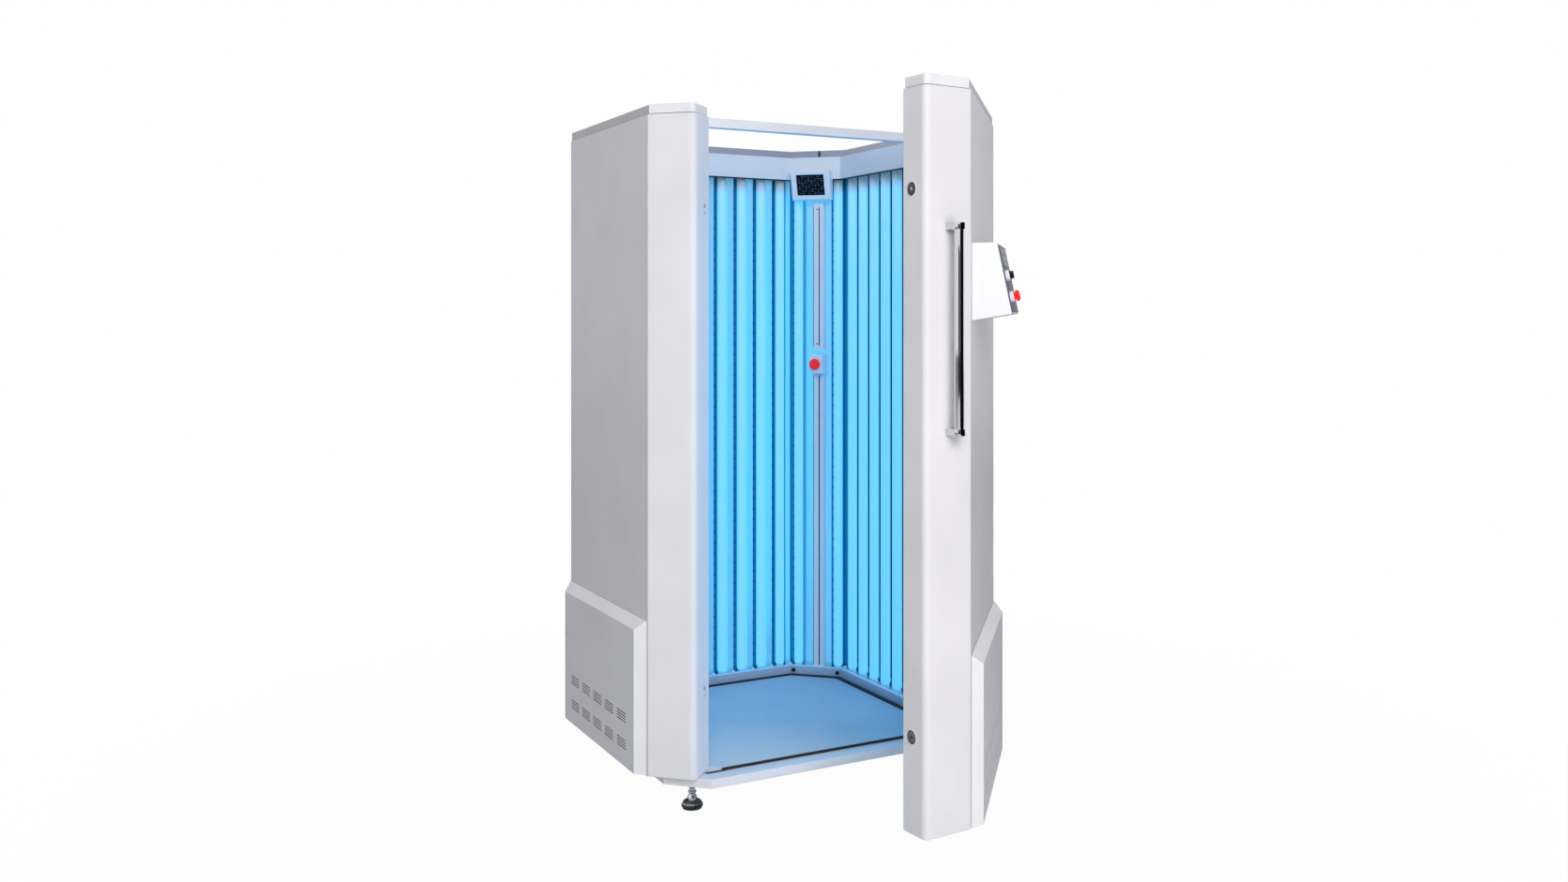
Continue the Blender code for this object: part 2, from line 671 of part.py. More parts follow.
def build_corner(side, frame, finish):
    """Panel, reflector and lamps of a closed corner."""
    build_panel(f"{side}_corner_panel", frame, corner_half, finish, with_opening=False)
    build_reflector(f"{side}_corner_reflector", frame, side, finish)
    build_lamps(f"{side}_corner_lamps", frame, side, finish)


def seam_ring(sides, seams, outer, inner):
    """Plan outline of a ring that starts and ends at door seams."""
    paths = []
    for inset in (outer, inner):
        start = wall_point(sides[0], seams[0], inset)
        end = wall_point(sides[-1], seams[1], inset)
        paths.append([start, *side_path(sides, inset), end])
    return paths[0] + paths[1][::-1]


def build_cap(name, frame, origin, sides, width, level, finish):
    """Top cap: an inverted folded channel along the walls, a little inside their faces."""
    seam = HALF_SEAM + CAP_INSET
    ring = seam_ring(sides, (seam, -seam), CAP_INSET, CAP_INSET + width)
    outline = [point - origin for point in ring]
    ends = [(outline[0], SEAM_RADIUS - CAP_INSET), (outline[len(sides)], SEAM_RADIUS - CAP_INSET)]
    low = level + SHEET + 2 * SEAT
    cap = piece(name, tray(outline, low, low + CAP_HEIGHT, open_low=True, rounded=ends,
                           top_radius=FOLD_RADIUS), frame, finish["white_paint"])
    sheet(cap, SHEET)


def build_valance(name, frame, origin, sides, level, finish):
    """Valance: a sheet that hangs in front of the lamp tops from a flange over the panels."""
    outer = side_path(sides, PANEL_FLANGE - VALANCE_LAP)
    inner = side_path(sides, WALL_DEPTH)
    for path in (outer, inner):
        path[0] += (path[1] - path[0]).normalized() * PANEL_JOINT
        path[-1] += (path[-2] - path[-1]).normalized() * PANEL_JOINT
    outline = [point - origin for point in outer + inner[::-1]]
    count = len(outer)
    opened = list(range(count)) + [2 * count - 1]
    high = level + SEAT + SHEET
    mesh = tray(outline, level - VALANCE_DROP, high, open_sides=opened, open_low=True)
    valance = piece(name, mesh, frame, finish["white_paint"])
    sheet(valance, SHEET)


def build_lintel(root, finish):
    """Bar over the doorway between the backs of the front left post and the hinge post."""
    high = TOP_LEVEL - LINTEL_BELOW_TOP
    back = POST_DEPTH + SEAT
    front_normal, front_far = side_line("front", back)
    right_normal, right_far = side_line("right", back)
    door_normal = side_line("door", 0)[0]
    near = door_normal.dot(front_normal * front_far)
    faces = [(door_normal, near), (door_normal, near - LINTEL_DEPTH)]
    front, right = (front_normal, front_far), (right_normal, right_far)
    outline = [meet(front, faces[0]), meet(faces[0], right), meet(right, faces[1]),
               meet(faces[1], front)]
    piece("front_top_rail", prism(outline, high - LINTEL_HEIGHT, high), root,
          finish["white_paint"])


def build_hinge(label, height, root, door_axis, hinge, finish):
    """Lift-off hinge: a fixed leaf with the pin and a door leaf that drops over it."""
    middle = height + KNUCKLE_LENGTH
    reach_in = LEAF_THICKNESS + SEAT - HINGE_STANDOFF
    for name, parent, origin, side, low in (
            (f"{label}_hinge_cabin_leaf", root, hinge, 1, height),
            (f"{label}_hinge_door_leaf", door_axis, Vector((0, 0)), -1, middle + SEAT)):
        mesh = bmesh.new()
        leaf = (LEAF_THICKNESS, LEAF_WIDTH, KNUCKLE_LENGTH)
        centre = (origin.x + reach_in - LEAF_THICKNESS / 2, origin.y + side * LEAF_WIDTH / 2,
                  low + KNUCKLE_LENGTH / 2)
        add_block(mesh, leaf, centre)
        made = piece(name, mesh, parent, finish["zinc_steel"])
        knuckle = bmesh.new()
        add_cylinder(knuckle, KNUCKLE_RADIUS, low, low + KNUCKLE_LENGTH, origin, HINGE_SEGMENTS)
        combine(made, tool(f"{name}_knuckle", knuckle, parent), "UNION")
        pin = bmesh.new()
        if side > 0:
            add_cylinder(pin, PIN_RADIUS, middle - SOCKET_BITE, middle + KNUCKLE_LENGTH, origin,
                         HINGE_SEGMENTS)
            combine(made, tool(f"{name}_pin", pin, parent), "UNION")
        else:
            add_cylinder(pin, PIN_RADIUS + PIN_PLAY, low - SEAT, low + KNUCKLE_LENGTH + SEAT, origin,
                         HINGE_SEGMENTS)
            combine(made, tool(f"{name}_bore", pin, parent), "DIFFERENCE")


def build_handle(frame, finish):
    """Chrome pull handle: a tube with an end collar and a standoff at each end."""
    axis = -HANDLE_STANDOFF
    mesh = bmesh.new()
    add_cylinder(mesh, HANDLE_RADIUS, HANDLE_LOW, HANDLE_HIGH, (HANDLE_FROM_SEAM, axis), 20)
    handle = piece("door_handle", mesh, frame, finish["chrome"], smooth_angle=40)
    for label, low in (("low", HANDLE_LOW), ("high", HANDLE_HIGH - HANDLE_COLLAR_LENGTH)):
        collar = bmesh.new()
        over = SOCKET_BITE / 2 if label == "high" else -SOCKET_BITE / 2
        add_cylinder(collar, HANDLE_COLLAR, low + over, low + over + HANDLE_COLLAR_LENGTH,
                     (HANDLE_FROM_SEAM, axis), 20)
        combine(handle, tool(f"handle_{label}_collar", collar, frame), "UNION")
        stand = bmesh.new()
        height = low + over + HANDLE_COLLAR_LENGTH / 2
        turn = Matrix.Translation((HANDLE_FROM_SEAM, 0, height)) @ Matrix.Rotation(
            math.radians(90), 4, "X")
        add_cylinder(stand, HANDLE_FOOT_RADIUS, SEAT, HANDLE_STANDOFF, sides=16, frame=turn)
        combine(handle, tool(f"handle_{label}_standoff", stand, frame), "UNION")


def build_catches(frame, post, finish):
    """Round catches let into the seam face of the door's front post."""
    for label, height in zip(("lower", "upper"), CATCH_HEIGHTS):
        axis = Matrix.Translation((HALF_SEAM, CATCH_FROM_FRONT, height)) @ Matrix.Rotation(
            math.radians(90), 4, "Y")
        hole = bmesh.new()
        add_cylinder(hole, CATCH_BODY_RADIUS + SEAT, -4 * SHEET, 4 * SHEET, sides=24, frame=axis)
        combine(post, tool(f"{label}_catch_hole", hole, frame), "DIFFERENCE")
        profile = [(0, CATCH_BODY_DEPTH), (CATCH_BODY_RADIUS, CATCH_BODY_DEPTH),
                   (CATCH_BODY_RADIUS, -SEAT), (CATCH_RADIUS, -SEAT),
                   (CATCH_RADIUS, -SEAT - CATCH_PROUD), (0, -SEAT - CATCH_PROUD)]
        turned(f"{label}_catch", profile, frame, finish["zinc_steel"], 24, axis)


def mushroom(radius, head, neck_radius, neck):
    """Half section of a domed push button on its neck, head upwards."""
    top = neck + head
    return [(0, top), (radius * 0.55, top - head * 0.06), (radius * 0.86, top - head * 0.22),
            (radius, top - head * 0.45), (radius, neck + head * 0.12), (radius * 0.94, neck),
            (neck_radius, neck), (neck_radius, 0), (0, 0)]


def build_controls(frame, finish):
    """Sloping control box on the door panel with its face plate, key switch and stop button."""
    left = BOX_START - wall_half(0)
    right = left + BOX_WIDTH
    profile = [(-SEAT, BOX_LOW), (-SEAT, BOX_HIGH), (-BOX_TOP_DEPTH, BOX_HIGH),
               (-BOX_LOW_DEPTH, BOX_LOW + BOX_LOW_RISE)]
    box = side_bar(profile, left, right)
    bevel(box, [edge for edge in box.edges if abs(edge.calc_length() - BOX_WIDTH) < 1e-6
                and edge.verts[0].co.y < -2 * SEAT], FOLD_RADIUS, 2)
    piece("control_box", box, frame, finish["white_paint"])

    low = Vector((0, -BOX_LOW_DEPTH, BOX_LOW + BOX_LOW_RISE))
    high = Vector((0, -BOX_TOP_DEPTH, BOX_HIGH))
    up = (high - low).normalized()
    normal = Vector((0, -up.z, up.y))
    across = up.cross(normal)
    place = Matrix((across, up, normal)).transposed().to_4x4()
    place.translation = low + Vector((left + SWITCH_FROM_START, 0, 0))
    length = (high - low).length
    key_up, stop_up = KEY_SHARE * length, STOP_SHARE * length
    plate = bmesh.new()
    middle = left + BOX_WIDTH / 2 - (left + SWITCH_FROM_START)
    add_block(plate, (BOX_WIDTH - 2 * PLATE_MARGIN, length - 2 * PLATE_MARGIN, PLATE_THICKNESS),
              (middle, length / 2, SEAT + PLATE_THICKNESS / 2))
    bmesh.ops.transform(plate, matrix=place, verts=plate.verts)
    face = piece("control_panel", plate, frame, finish["grey_plastic"])
    collars = bmesh.new()
    for along in (key_up, stop_up):
        add_cylinder(collars, COLLAR_RADIUS, SEAT + PLATE_THICKNESS / 2, SEAT + COLLAR_HEIGHT,
                     (0, along), BUTTON_SEGMENTS, place)
    combine(face, tool("control_collars", collars, frame), "UNION")

    collar_top = COLLAR_HEIGHT + 2 * SEAT
    key_axis = empty("key_axis", frame)
    key_axis.matrix_local = place @ Matrix.Translation((0, key_up, collar_top))
    knob = bmesh.new()
    add_cylinder(knob, KEY_RADIUS, 0, KEY_HEIGHT, sides=BUTTON_SEGMENTS)
    key = piece("key_knob", knob, key_axis, finish["black_plastic"])
    grip = bmesh.new()
    add_block(grip, KEY_GRIP, (0, 0, KEY_HEIGHT - SEAT + KEY_GRIP[2] / 2))
    combine(key, tool("key_grip", grip, key_axis), "UNION")

    stop_axis = empty("outer_stop_axis", frame)
    stop_axis.matrix_local = place @ Matrix.Translation((0, stop_up, collar_top - STOP_ENTRY))
    neck = STOP_ENTRY + STOP_TRAVEL + 2 * SEAT
    turned("outer_stop_button", mushroom(STOP_RADIUS, STOP_HEAD_HEIGHT, STOP_NECK_RADIUS, neck),
           stop_axis, finish["red_plastic"], BUTTON_SEGMENTS)
    recess = bmesh.new()
    add_cylinder(recess, STOP_NECK_RADIUS + SEAT, collar_top - STOP_ENTRY - STOP_TRAVEL - 2 * SEAT,
                 collar_top + SEAT, (0, stop_up), BUTTON_SEGMENTS, place)
    combine(face, tool("outer_stop_recess", recess, frame), "DIFFERENCE")


def build_rear_fittings(frame, finish):
    """Cable ducts, stop box and display on the rear corner."""
    back = LAMP_INSET - LAMP_RADIUS - TROUGH_GAP + TROUGH_RISE + SEAT
    left, right = DUCT_CENTRE - DUCT_WIDTH / 2, DUCT_CENTRE + DUCT_WIDTH / 2
    outline = [(left, back), (right, back), (right, DUCT_FRONT), (left, DUCT_FRONT)]
    folds = [(outline[2], FOLD_RADIUS), (outline[3], FOLD_RADIUS)]
    box_low, box_high = STOP_BOX_HEIGHTS
    spans = {"upper": UPPER_DUCT, "lower": (RAIL_HEIGHT + SEAT, box_low - SEAT)}
    for label, (low, high) in spans.items():
        duct = piece(f"{label}_cable_duct", tray(outline, low, high, open_sides=(0,), rounded=folds),
                     frame, finish["white_paint"])
        sheet(duct, SHEET)

    stop = bmesh.new()
    depth = STOP_BOX_FRONT - back
    add_block(stop, (STOP_BOX_WIDTH, depth, box_high - box_low),
              (DUCT_CENTRE, back + depth / 2, (box_low + box_high) / 2))
    front = [edge for edge in stop.edges
             if all(vert.co.y > STOP_BOX_FRONT - SEAT for vert in edge.verts)]
    bevel(stop, front, FOLD_RADIUS, 2)
    box = piece("stop_box", stop, frame, finish["white_plastic"])
    axis = Matrix.Translation((DUCT_CENTRE, STOP_BOX_FRONT, (box_low + box_high) / 2))
    axis = axis @ Matrix.Rotation(math.radians(-90), 4, "X")
    ring = bmesh.new()
    add_cylinder(ring, INNER_COLLAR_RADIUS, -SOCKET_BITE, INNER_COLLAR_HEIGHT, sides=24, frame=axis)
    combine(box, tool("stop_box_collar", ring, frame), "UNION")
    neck = STOP_ENTRY + STOP_TRAVEL + 2 * SEAT
    recess = bmesh.new()
    add_cylinder(recess, INNER_STOP_NECK + SEAT,
                 INNER_COLLAR_HEIGHT - STOP_ENTRY - STOP_TRAVEL - 2 * SEAT,
                 INNER_COLLAR_HEIGHT + SEAT, sides=24, frame=axis)
    combine(box, tool("stop_box_recess", recess, frame), "DIFFERENCE")
    stop_axis = empty("inner_stop_axis", frame)
    stop_axis.matrix_local = axis @ Matrix.Translation((0, 0, INNER_COLLAR_HEIGHT - STOP_ENTRY))
    turned("inner_stop_button", mushroom(INNER_STOP_RADIUS, STOP_HEAD_HEIGHT, INNER_STOP_NECK, neck),
           stop_axis, finish["red_plastic"], 24)

    build_display(frame, finish)


def build_display(frame, finish):
    """Wedge-shaped display housing on the valance, its screen tilted down to the user."""
    low, high = DISPLAY_HEIGHTS
    back = WALL_DEPTH + SEAT
    top_front = Vector((0, back + DISPLAY_TOP_DEPTH, high))
    low_front = Vector((0, back + DISPLAY_LOW_DEPTH, low))
    profile = [(back, low), (low_front.y, low), (top_front.y, high), (back, high)]
    left = DISPLAY_CENTRE - DISPLAY_WIDTH / 2
    body = side_bar(profile, left, left + DISPLAY_WIDTH)
    bevel(body, [edge for edge in body.edges
                 if all(vert.co.y > back + SEAT for vert in edge.verts)], DISPLAY_RADIUS, 2)
    housing = piece("display_housing", body, frame, finish["white_plastic"])
    up = (top_front - low_front).normalized()
    normal = Vector((0, up.z, -up.y))
    place = Matrix((up.cross(normal), up, normal)).transposed().to_4x4()
    place.translation = (top_front + low_front) / 2 + Vector((DISPLAY_CENTRE, 0, 0))
    wide, tall = SCREEN_SIZE
    pocket = bmesh.new()
    add_block(pocket, (wide + 2 * SEAT, tall + 2 * SEAT, 2 * SCREEN_RECESS), (0, 0, 0))
    bmesh.ops.transform(pocket, matrix=place, verts=pocket.verts)
    combine(housing, tool("screen_pocket", pocket, frame), "DIFFERENCE")
    screen = bmesh.new()
    thick = SCREEN_RECESS - SEAT - SCREEN_PROUD
    add_block(screen, (wide, tall, thick), (0, 0, SEAT - SCREEN_RECESS + thick / 2))
    bmesh.ops.transform(screen, matrix=place, verts=screen.verts)
    piece("display_screen", screen, frame, finish["dark_glass"])


def stand_at_origin(root):
    """Move the cabin so that the middle of its footprint box is at the origin."""
    bpy.context.view_layer.update()
    graph = bpy.context.evaluated_depsgraph_get()
    points = []
    for made in collection(COLLECTION).objects:
        if made.type == "MESH":
            seen = made.evaluated_get(graph)
            data = seen.to_mesh()
            points += [seen.matrix_world @ vert.co for vert in data.vertices]
            seen.to_mesh_clear()
    for axis in (0, 1):
        values = [point[axis] for point in points]
        root.location[axis] -= (min(values) + max(values)) / 2


def wall_frame(side, parent, origin, level):
    """Empty that carries the pieces of one side."""
    spot = wall_point(side, 0, 0) - origin
    return empty(f"{parent.name}_{side}_side", parent, (*spot, level), TURNS[side])


def build_cabin():
    """Build the fixed cabin and the open door."""
    for old in list(bpy.data.objects):
        bpy.data.objects.remove(old, do_unlink=True)
    finish = build_finishes()
    root = empty("cabin")
    centre = Vector((0, 0))
    build_base(root, finish)
    for side in ("front_left", "rear_left", "rear_right"):
        build_wall(side, wall_frame(side, root, centre, FOOT_LEVEL), finish)
    for side in ("left", "rear"):
        frame = wall_frame(side, root, centre, FOOT_LEVEL)
        build_corner(side, frame, finish)
        if side == "rear":
            build_rear_fittings(frame, finish)
    front = wall_frame("front", root, centre, FOOT_LEVEL)
    right = wall_frame("right", root, centre, FOOT_LEVEL)
    build_post("front_left_post", front, -1, POST_DEPTH, finish)
    build_post("right_hinge_post", right, 1, POST_DEPTH, finish)
    ring = ["right", "rear_right", "rear", "rear_left", "left", "front_left", "front"]
    build_cap("top_cap", root, centre, ring, CAP_WIDTH, TOP_LEVEL, finish)
    build_valance("valance", root, centre, ring, TOP_LEVEL, finish)
    build_lintel(root, finish)

    hinge = Vector((HALF_WIDTH + HINGE_STANDOFF, 0))
    door = empty("door_hinge_axis", root, (*hinge, 0), DOOR_OPEN_ANGLE)
    build_wall("door", wall_frame("door", door, hinge, DOOR_LEVEL), finish)
    door_front = wall_frame("front", door, hinge, DOOR_LEVEL)
    front_post = build_post("door_front_post", door_front, 1, DOOR_POST_DEPTH, finish)
    build_post("door_hinge_post", wall_frame("right", door, hinge, DOOR_LEVEL), -1,
               DOOR_POST_DEPTH, finish)
    door_ring = ["front", "door", "right"]
    door_top = DOOR_LEVEL + WALL_HEIGHT
    build_cap("door_cap", door, hinge, door_ring, DOOR_POST_DEPTH - 2 * CAP_INSET, door_top, finish)
    build_valance("door_valance", door, hinge, door_ring, door_top, finish)
    build_handle(door_front, finish)
    build_catches(door_front, front_post, finish)
    build_controls(bpy.data.objects["door_hinge_axis_door_side"], finish)
    for label, height in zip(("lower", "upper"), HINGE_HEIGHTS):
        build_hinge(label, FOOT_LEVEL + height, root, door, hinge, finish)
    stand_at_origin(root)


build_cabin()
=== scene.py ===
"""Looks of the phototherapy cabin: finishes for its solids, lit lamps, fittings, light and camera."""
from __future__ import annotations

import json
import logging
import math
from dataclasses import dataclass
from enum import Enum
from typing import Any, Callable, Iterable, Sequence

import bmesh  # noqa: E402
import bpy  # noqa: E402
from mathutils import Matrix, Vector  # noqa: E402

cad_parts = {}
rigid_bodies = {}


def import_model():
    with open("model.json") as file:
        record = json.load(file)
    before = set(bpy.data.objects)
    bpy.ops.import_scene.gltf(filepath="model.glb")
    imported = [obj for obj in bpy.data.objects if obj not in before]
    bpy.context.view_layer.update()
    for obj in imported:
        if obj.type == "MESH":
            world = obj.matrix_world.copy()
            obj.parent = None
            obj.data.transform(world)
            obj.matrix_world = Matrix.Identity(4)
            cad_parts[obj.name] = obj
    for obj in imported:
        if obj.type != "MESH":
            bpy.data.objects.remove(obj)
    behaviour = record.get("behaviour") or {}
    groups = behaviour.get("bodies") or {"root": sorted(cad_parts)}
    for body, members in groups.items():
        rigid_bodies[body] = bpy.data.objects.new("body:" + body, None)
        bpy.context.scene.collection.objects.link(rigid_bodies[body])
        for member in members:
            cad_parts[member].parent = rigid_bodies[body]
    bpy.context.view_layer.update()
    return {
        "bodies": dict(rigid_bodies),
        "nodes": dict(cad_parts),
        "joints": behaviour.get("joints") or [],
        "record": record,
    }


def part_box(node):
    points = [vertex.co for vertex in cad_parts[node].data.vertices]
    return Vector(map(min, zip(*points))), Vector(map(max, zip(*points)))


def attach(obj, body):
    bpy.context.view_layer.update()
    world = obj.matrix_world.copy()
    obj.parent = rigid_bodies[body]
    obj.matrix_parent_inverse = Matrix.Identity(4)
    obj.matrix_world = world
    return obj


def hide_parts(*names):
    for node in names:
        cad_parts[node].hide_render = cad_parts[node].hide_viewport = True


EndAt = Callable[[float], float]
LOG = logging.getLogger("phototherapy_cabin")
MM = 0.001
MITRE = math.tan(math.radians(22.5))
SEAT = 0.0003               # air between pieces that touch
SAME_POINT = 1e-6           # points closer than this are one
SMOOTH_ROUND = 20.0         # degrees under which the edges of round glass and tube are smooth
SMOOTH = 35.0               # the same for most pieces
SMOOTH_TURNED = 40.0        # the same for turned pieces
SMOOTH_STEM = 50.0          # the same for the stems of the feet
WELD_REACH = 1e-5           # joins the separate faces of a loaded solid
SOFT_EDGE = 0.0006          # width of the softened edges of the solids
SOFT_ANGLE = 40.0           # degrees from which an edge of a solid is softened
LIT_HEIGHTS = (0.046, 1.765)    # span of the lamps' full glow above the wall foot
CHAMFER = (0.2, 0.95)       # cosines between a wall's outward direction and a cover's sloping rims, which get a painted highlight
FLAT = (0.95, 1.01)         # the same for faces along the wall, which on the caps get a painted shade
LOOKS_IN = 0.6              # least cosine between a cap's inner face and the way to the centre, for its painted shade


def linear(code: str) -> tuple[float, float, float, float]:
    """Turn an sRGB hex colour into linear RGBA.

    Args:
        code: Colour as "#rrggbb".

    Returns:
        Linear red, green, blue and an alpha of 1.
    """
    values = [int(code[i:i + 2], 16) / 255 for i in (1, 3, 5)]
    red, green, blue = (v / 12.92 if v <= 0.04045 else ((v + 0.055) / 1.055) ** 2.4 for v in values)
    return red, green, blue, 1.0


def wire(tree: bpy.types.NodeTree, node: bpy.types.Node, inputs: dict[Any, Any]) -> None:
    """Set or link the inputs of a node.

    Args:
        tree: Node tree of the node.
        node: The node.
        inputs: Constants or output sockets by input name or index.
    """
    for name, value in inputs.items():
        if isinstance(value, bpy.types.NodeSocket):
            tree.links.new(value, node.inputs[name])
        else:
            node.inputs[name].default_value = value


def add_node(tree: bpy.types.NodeTree, kind: str, settings: dict[str, Any] | None = None,
             inputs: dict[Any, Any] | None = None) -> bpy.types.Node:
    """Add a node with its settings, and set or link its inputs.

    Args:
        tree: Node tree that gets the node.
        kind: Node type name.
        settings: Attributes of the node.
        inputs: Constants or output sockets by input name or index.

    Returns:
        The new node.
    """
    node = tree.nodes.new(kind)
    for name, value in (settings or {}).items():
        setattr(node, name, value)
    wire(tree, node, inputs or {})
    return node


def start_material(name: str) -> tuple[bpy.types.Material, bpy.types.NodeTree, bpy.types.Node]:
    """New material with its tree and its Principled shader.

    Args:
        name: Name of the real material and its process.

    Returns:
        The material, its node tree and the shader node.
    """
    made = bpy.data.materials.new(name)
    made.use_nodes = True
    tree = made.node_tree
    return made, tree, tree.nodes["Principled BSDF"]


def two_tone(tree: bpy.types.NodeTree, first: str, second: str, grain: bpy.types.NodeSocket,
             low: float, high: float) -> bpy.types.NodeSocket:
    """Blend of two close colours along a texture value.

    Args:
        tree: Node tree of the material.
        first: Hex colour at the low end.
        second: Hex colour at the high end.
        grain: Texture value that drives the blend.
        low: Texture value that gives the first colour.
        high: Texture value that gives the second colour.

    Returns:
        The colour output.
    """
    ramp = add_node(tree, "ShaderNodeValToRGB", inputs={0: grain})
    for stop, where, colour in zip(ramp.color_ramp.elements, (low, high), (first, second)):
        stop.position = where
        stop.color = linear(colour)
    return ramp.outputs["Color"]


def place_in_object(tree: bpy.types.NodeTree) -> bpy.types.NodeSocket:
    """Object coordinates of the shaded point."""
    return add_node(tree, "ShaderNodeTexCoord").outputs["Object"]


def noise(tree: bpy.types.NodeTree, where: bpy.types.NodeSocket, size_mm: float,
          detail: float) -> bpy.types.NodeSocket:
    """Noise value.

    Args:
        tree: Node tree of the material.
        where: Coordinates.
        size_mm: Rough width of one feature.
        detail: Number of finer layers.

    Returns:
        The value output.
    """
    return add_node(tree, "ShaderNodeTexNoise", inputs={
        "Vector": where, "Scale": 1.0 / (size_mm * MM), "Detail": detail}).outputs["Fac"]


def spread(tree: bpy.types.NodeTree, value: bpy.types.NodeSocket, low: float,
           high: float) -> bpy.types.NodeSocket:
    """Carry a value between 0 and 1 over to the range from low to high."""
    return add_node(tree, "ShaderNodeMapRange", inputs={
        "Value": value, "To Min": low, "To Max": high}).outputs["Result"]


def fade(tree: bpy.types.NodeTree, value: bpy.types.NodeSocket, start: float, end: float,
         low: float, high: float) -> bpy.types.NodeSocket:
    """Change softly from low to high while a value goes from start to end.

    Args:
        tree: Node tree of the material.
        value: Value that drives the change.
        start: Where the change begins.
        end: Where it is over.
        low: Result before it.
        high: Result after it.

    Returns:
        The result.
    """
    return add_node(tree, "ShaderNodeMapRange", {"interpolation_type": "SMOOTHSTEP"}, {
        "Value": value, "From Min": start, "From Max": end, "To Min": low,
        "To Max": high}).outputs["Result"]


def relief(tree: bpy.types.NodeTree, height: bpy.types.NodeSocket, strength: float,
           depth: float) -> bpy.types.NodeSocket:
    """Normal of a surface with a fine relief."""
    return add_node(tree, "ShaderNodeBump", inputs={
        "Height": height, "Strength": strength, "Distance": depth}).outputs["Normal"]


def combine(tree: bpy.types.NodeTree, operation: str, first: bpy.types.NodeSocket,
            second: bpy.types.NodeSocket) -> bpy.types.NodeSocket:
    """Result of a sum on two values, such as MULTIPLY."""
    return add_node(tree, "ShaderNodeMath", {"operation": operation},
                    {0: first, 1: second}).outputs[0]


@dataclass(frozen=True)
class PowderCoat:
    """Polyester powder coat, baked on steel: satin, with a faint orange-peel ripple."""

    name: str
    colour: str
    shade: str
    roughness: float = 0.42
    peel_mm: float = 5.0        # coarser than the real 2 mm, so that it shows at this distance
    cloud_mm: float = 260.0
    tone_at: tuple[float, float] = (0.30, 0.65)
    gloss: tuple[float, float] = (-0.05, 0.07)
    bump: float = 0.10
    bump_depth: float = 0.0002
    ior: float = 1.5

    def build(self) -> bpy.types.Material:
        """Material with slow shade variation, fine ripple and uneven gloss."""
        made, tree, shader = start_material(self.name)
        where = place_in_object(tree)
        cloud, peel = noise(tree, where, self.cloud_mm, 2.0), noise(tree, where, self.peel_mm, 1.0)
        wire(tree, shader, {
            "Base Color": two_tone(tree, self.shade, self.colour, cloud, *self.tone_at),
            "Roughness": spread(tree, peel, *(self.roughness + step for step in self.gloss)),
            "Normal": relief(tree, peel, self.bump, self.bump_depth), "IOR": self.ior})
        return made


@dataclass(frozen=True)
class LitPoolEnamel(PowderCoat):
    """Satin enamel of the floor plate, with a paler pool of painted light near the front."""

    # the paler tone, its centre and reach: a painted pool of light on the floor
    pool_tone: str = "#d6d4d3"
    pool_centre: tuple[float, float, float] = (-0.05, -0.42, 0.0)
    pool_reach: float = 0.62

    def build(self) -> bpy.types.Material:
        """Powder coat whose tone fades to a paler painted light near the front."""
        made = super().build()
        tree = made.node_tree
        shader = tree.nodes["Principled BSDF"]
        tone = shader.inputs["Base Color"].links[0].from_socket
        flat = add_node(tree, "ShaderNodeVectorMath", {"operation": "MULTIPLY"}, {
            0: place_in_object(tree), 1: (1.0, 1.0, 0.0)})
        away = add_node(tree, "ShaderNodeVectorMath", {"operation": "DISTANCE"}, {
            0: flat.outputs["Vector"], 1: self.pool_centre})
        share = fade(tree, away.outputs["Value"], 0.0, self.pool_reach, 1.0, 0.0)
        blend = add_node(tree, "ShaderNodeMix", {"data_type": "RGBA"}, {
            "Factor": share, 6: tone, 7: linear(self.pool_tone)})    # 6 and 7: the two colours
        wire(tree, shader, {"Base Color": blend.outputs[2]})
        return made


@dataclass(frozen=True)
class LampGlass:
    """Coated fluorescent tube, lit: even blue glow that fades into unlit, greyish ends."""

    name: str
    glow: str
    unlit: str
    lit_low: float
    lit_high: float
    coating: str = "#a0a6aa"
    fade_low: float = 0.012
    fade_high: float = 0.060
    strength: float = 1.0
    unlit_strength: float = 0.25
    roughness: float = 0.16
    ior: float = 1.52

    def build(self) -> bpy.types.Material:
        """Material whose glow depends on height along the tube."""
        made, tree, shader = start_material(self.name)
        height = add_node(tree, "ShaderNodeSeparateXYZ",
                          inputs={0: place_in_object(tree)}).outputs["Z"]
        rise = fade(tree, height, self.lit_low - self.fade_low, self.lit_low, 0.0, 1.0)
        fall = fade(tree, height, self.lit_high, self.lit_high + self.fade_high, 1.0, 0.0)
        lit = combine(tree, "MULTIPLY", rise, fall)
        wire(tree, shader, {
            "Emission Color": two_tone(tree, self.unlit, self.glow, lit, 0.0, 1.0),
            "Emission Strength": spread(tree, lit, self.unlit_strength, self.strength),
            "Base Color": linear(self.coating), "Roughness": self.roughness, "IOR": self.ior})
        return made


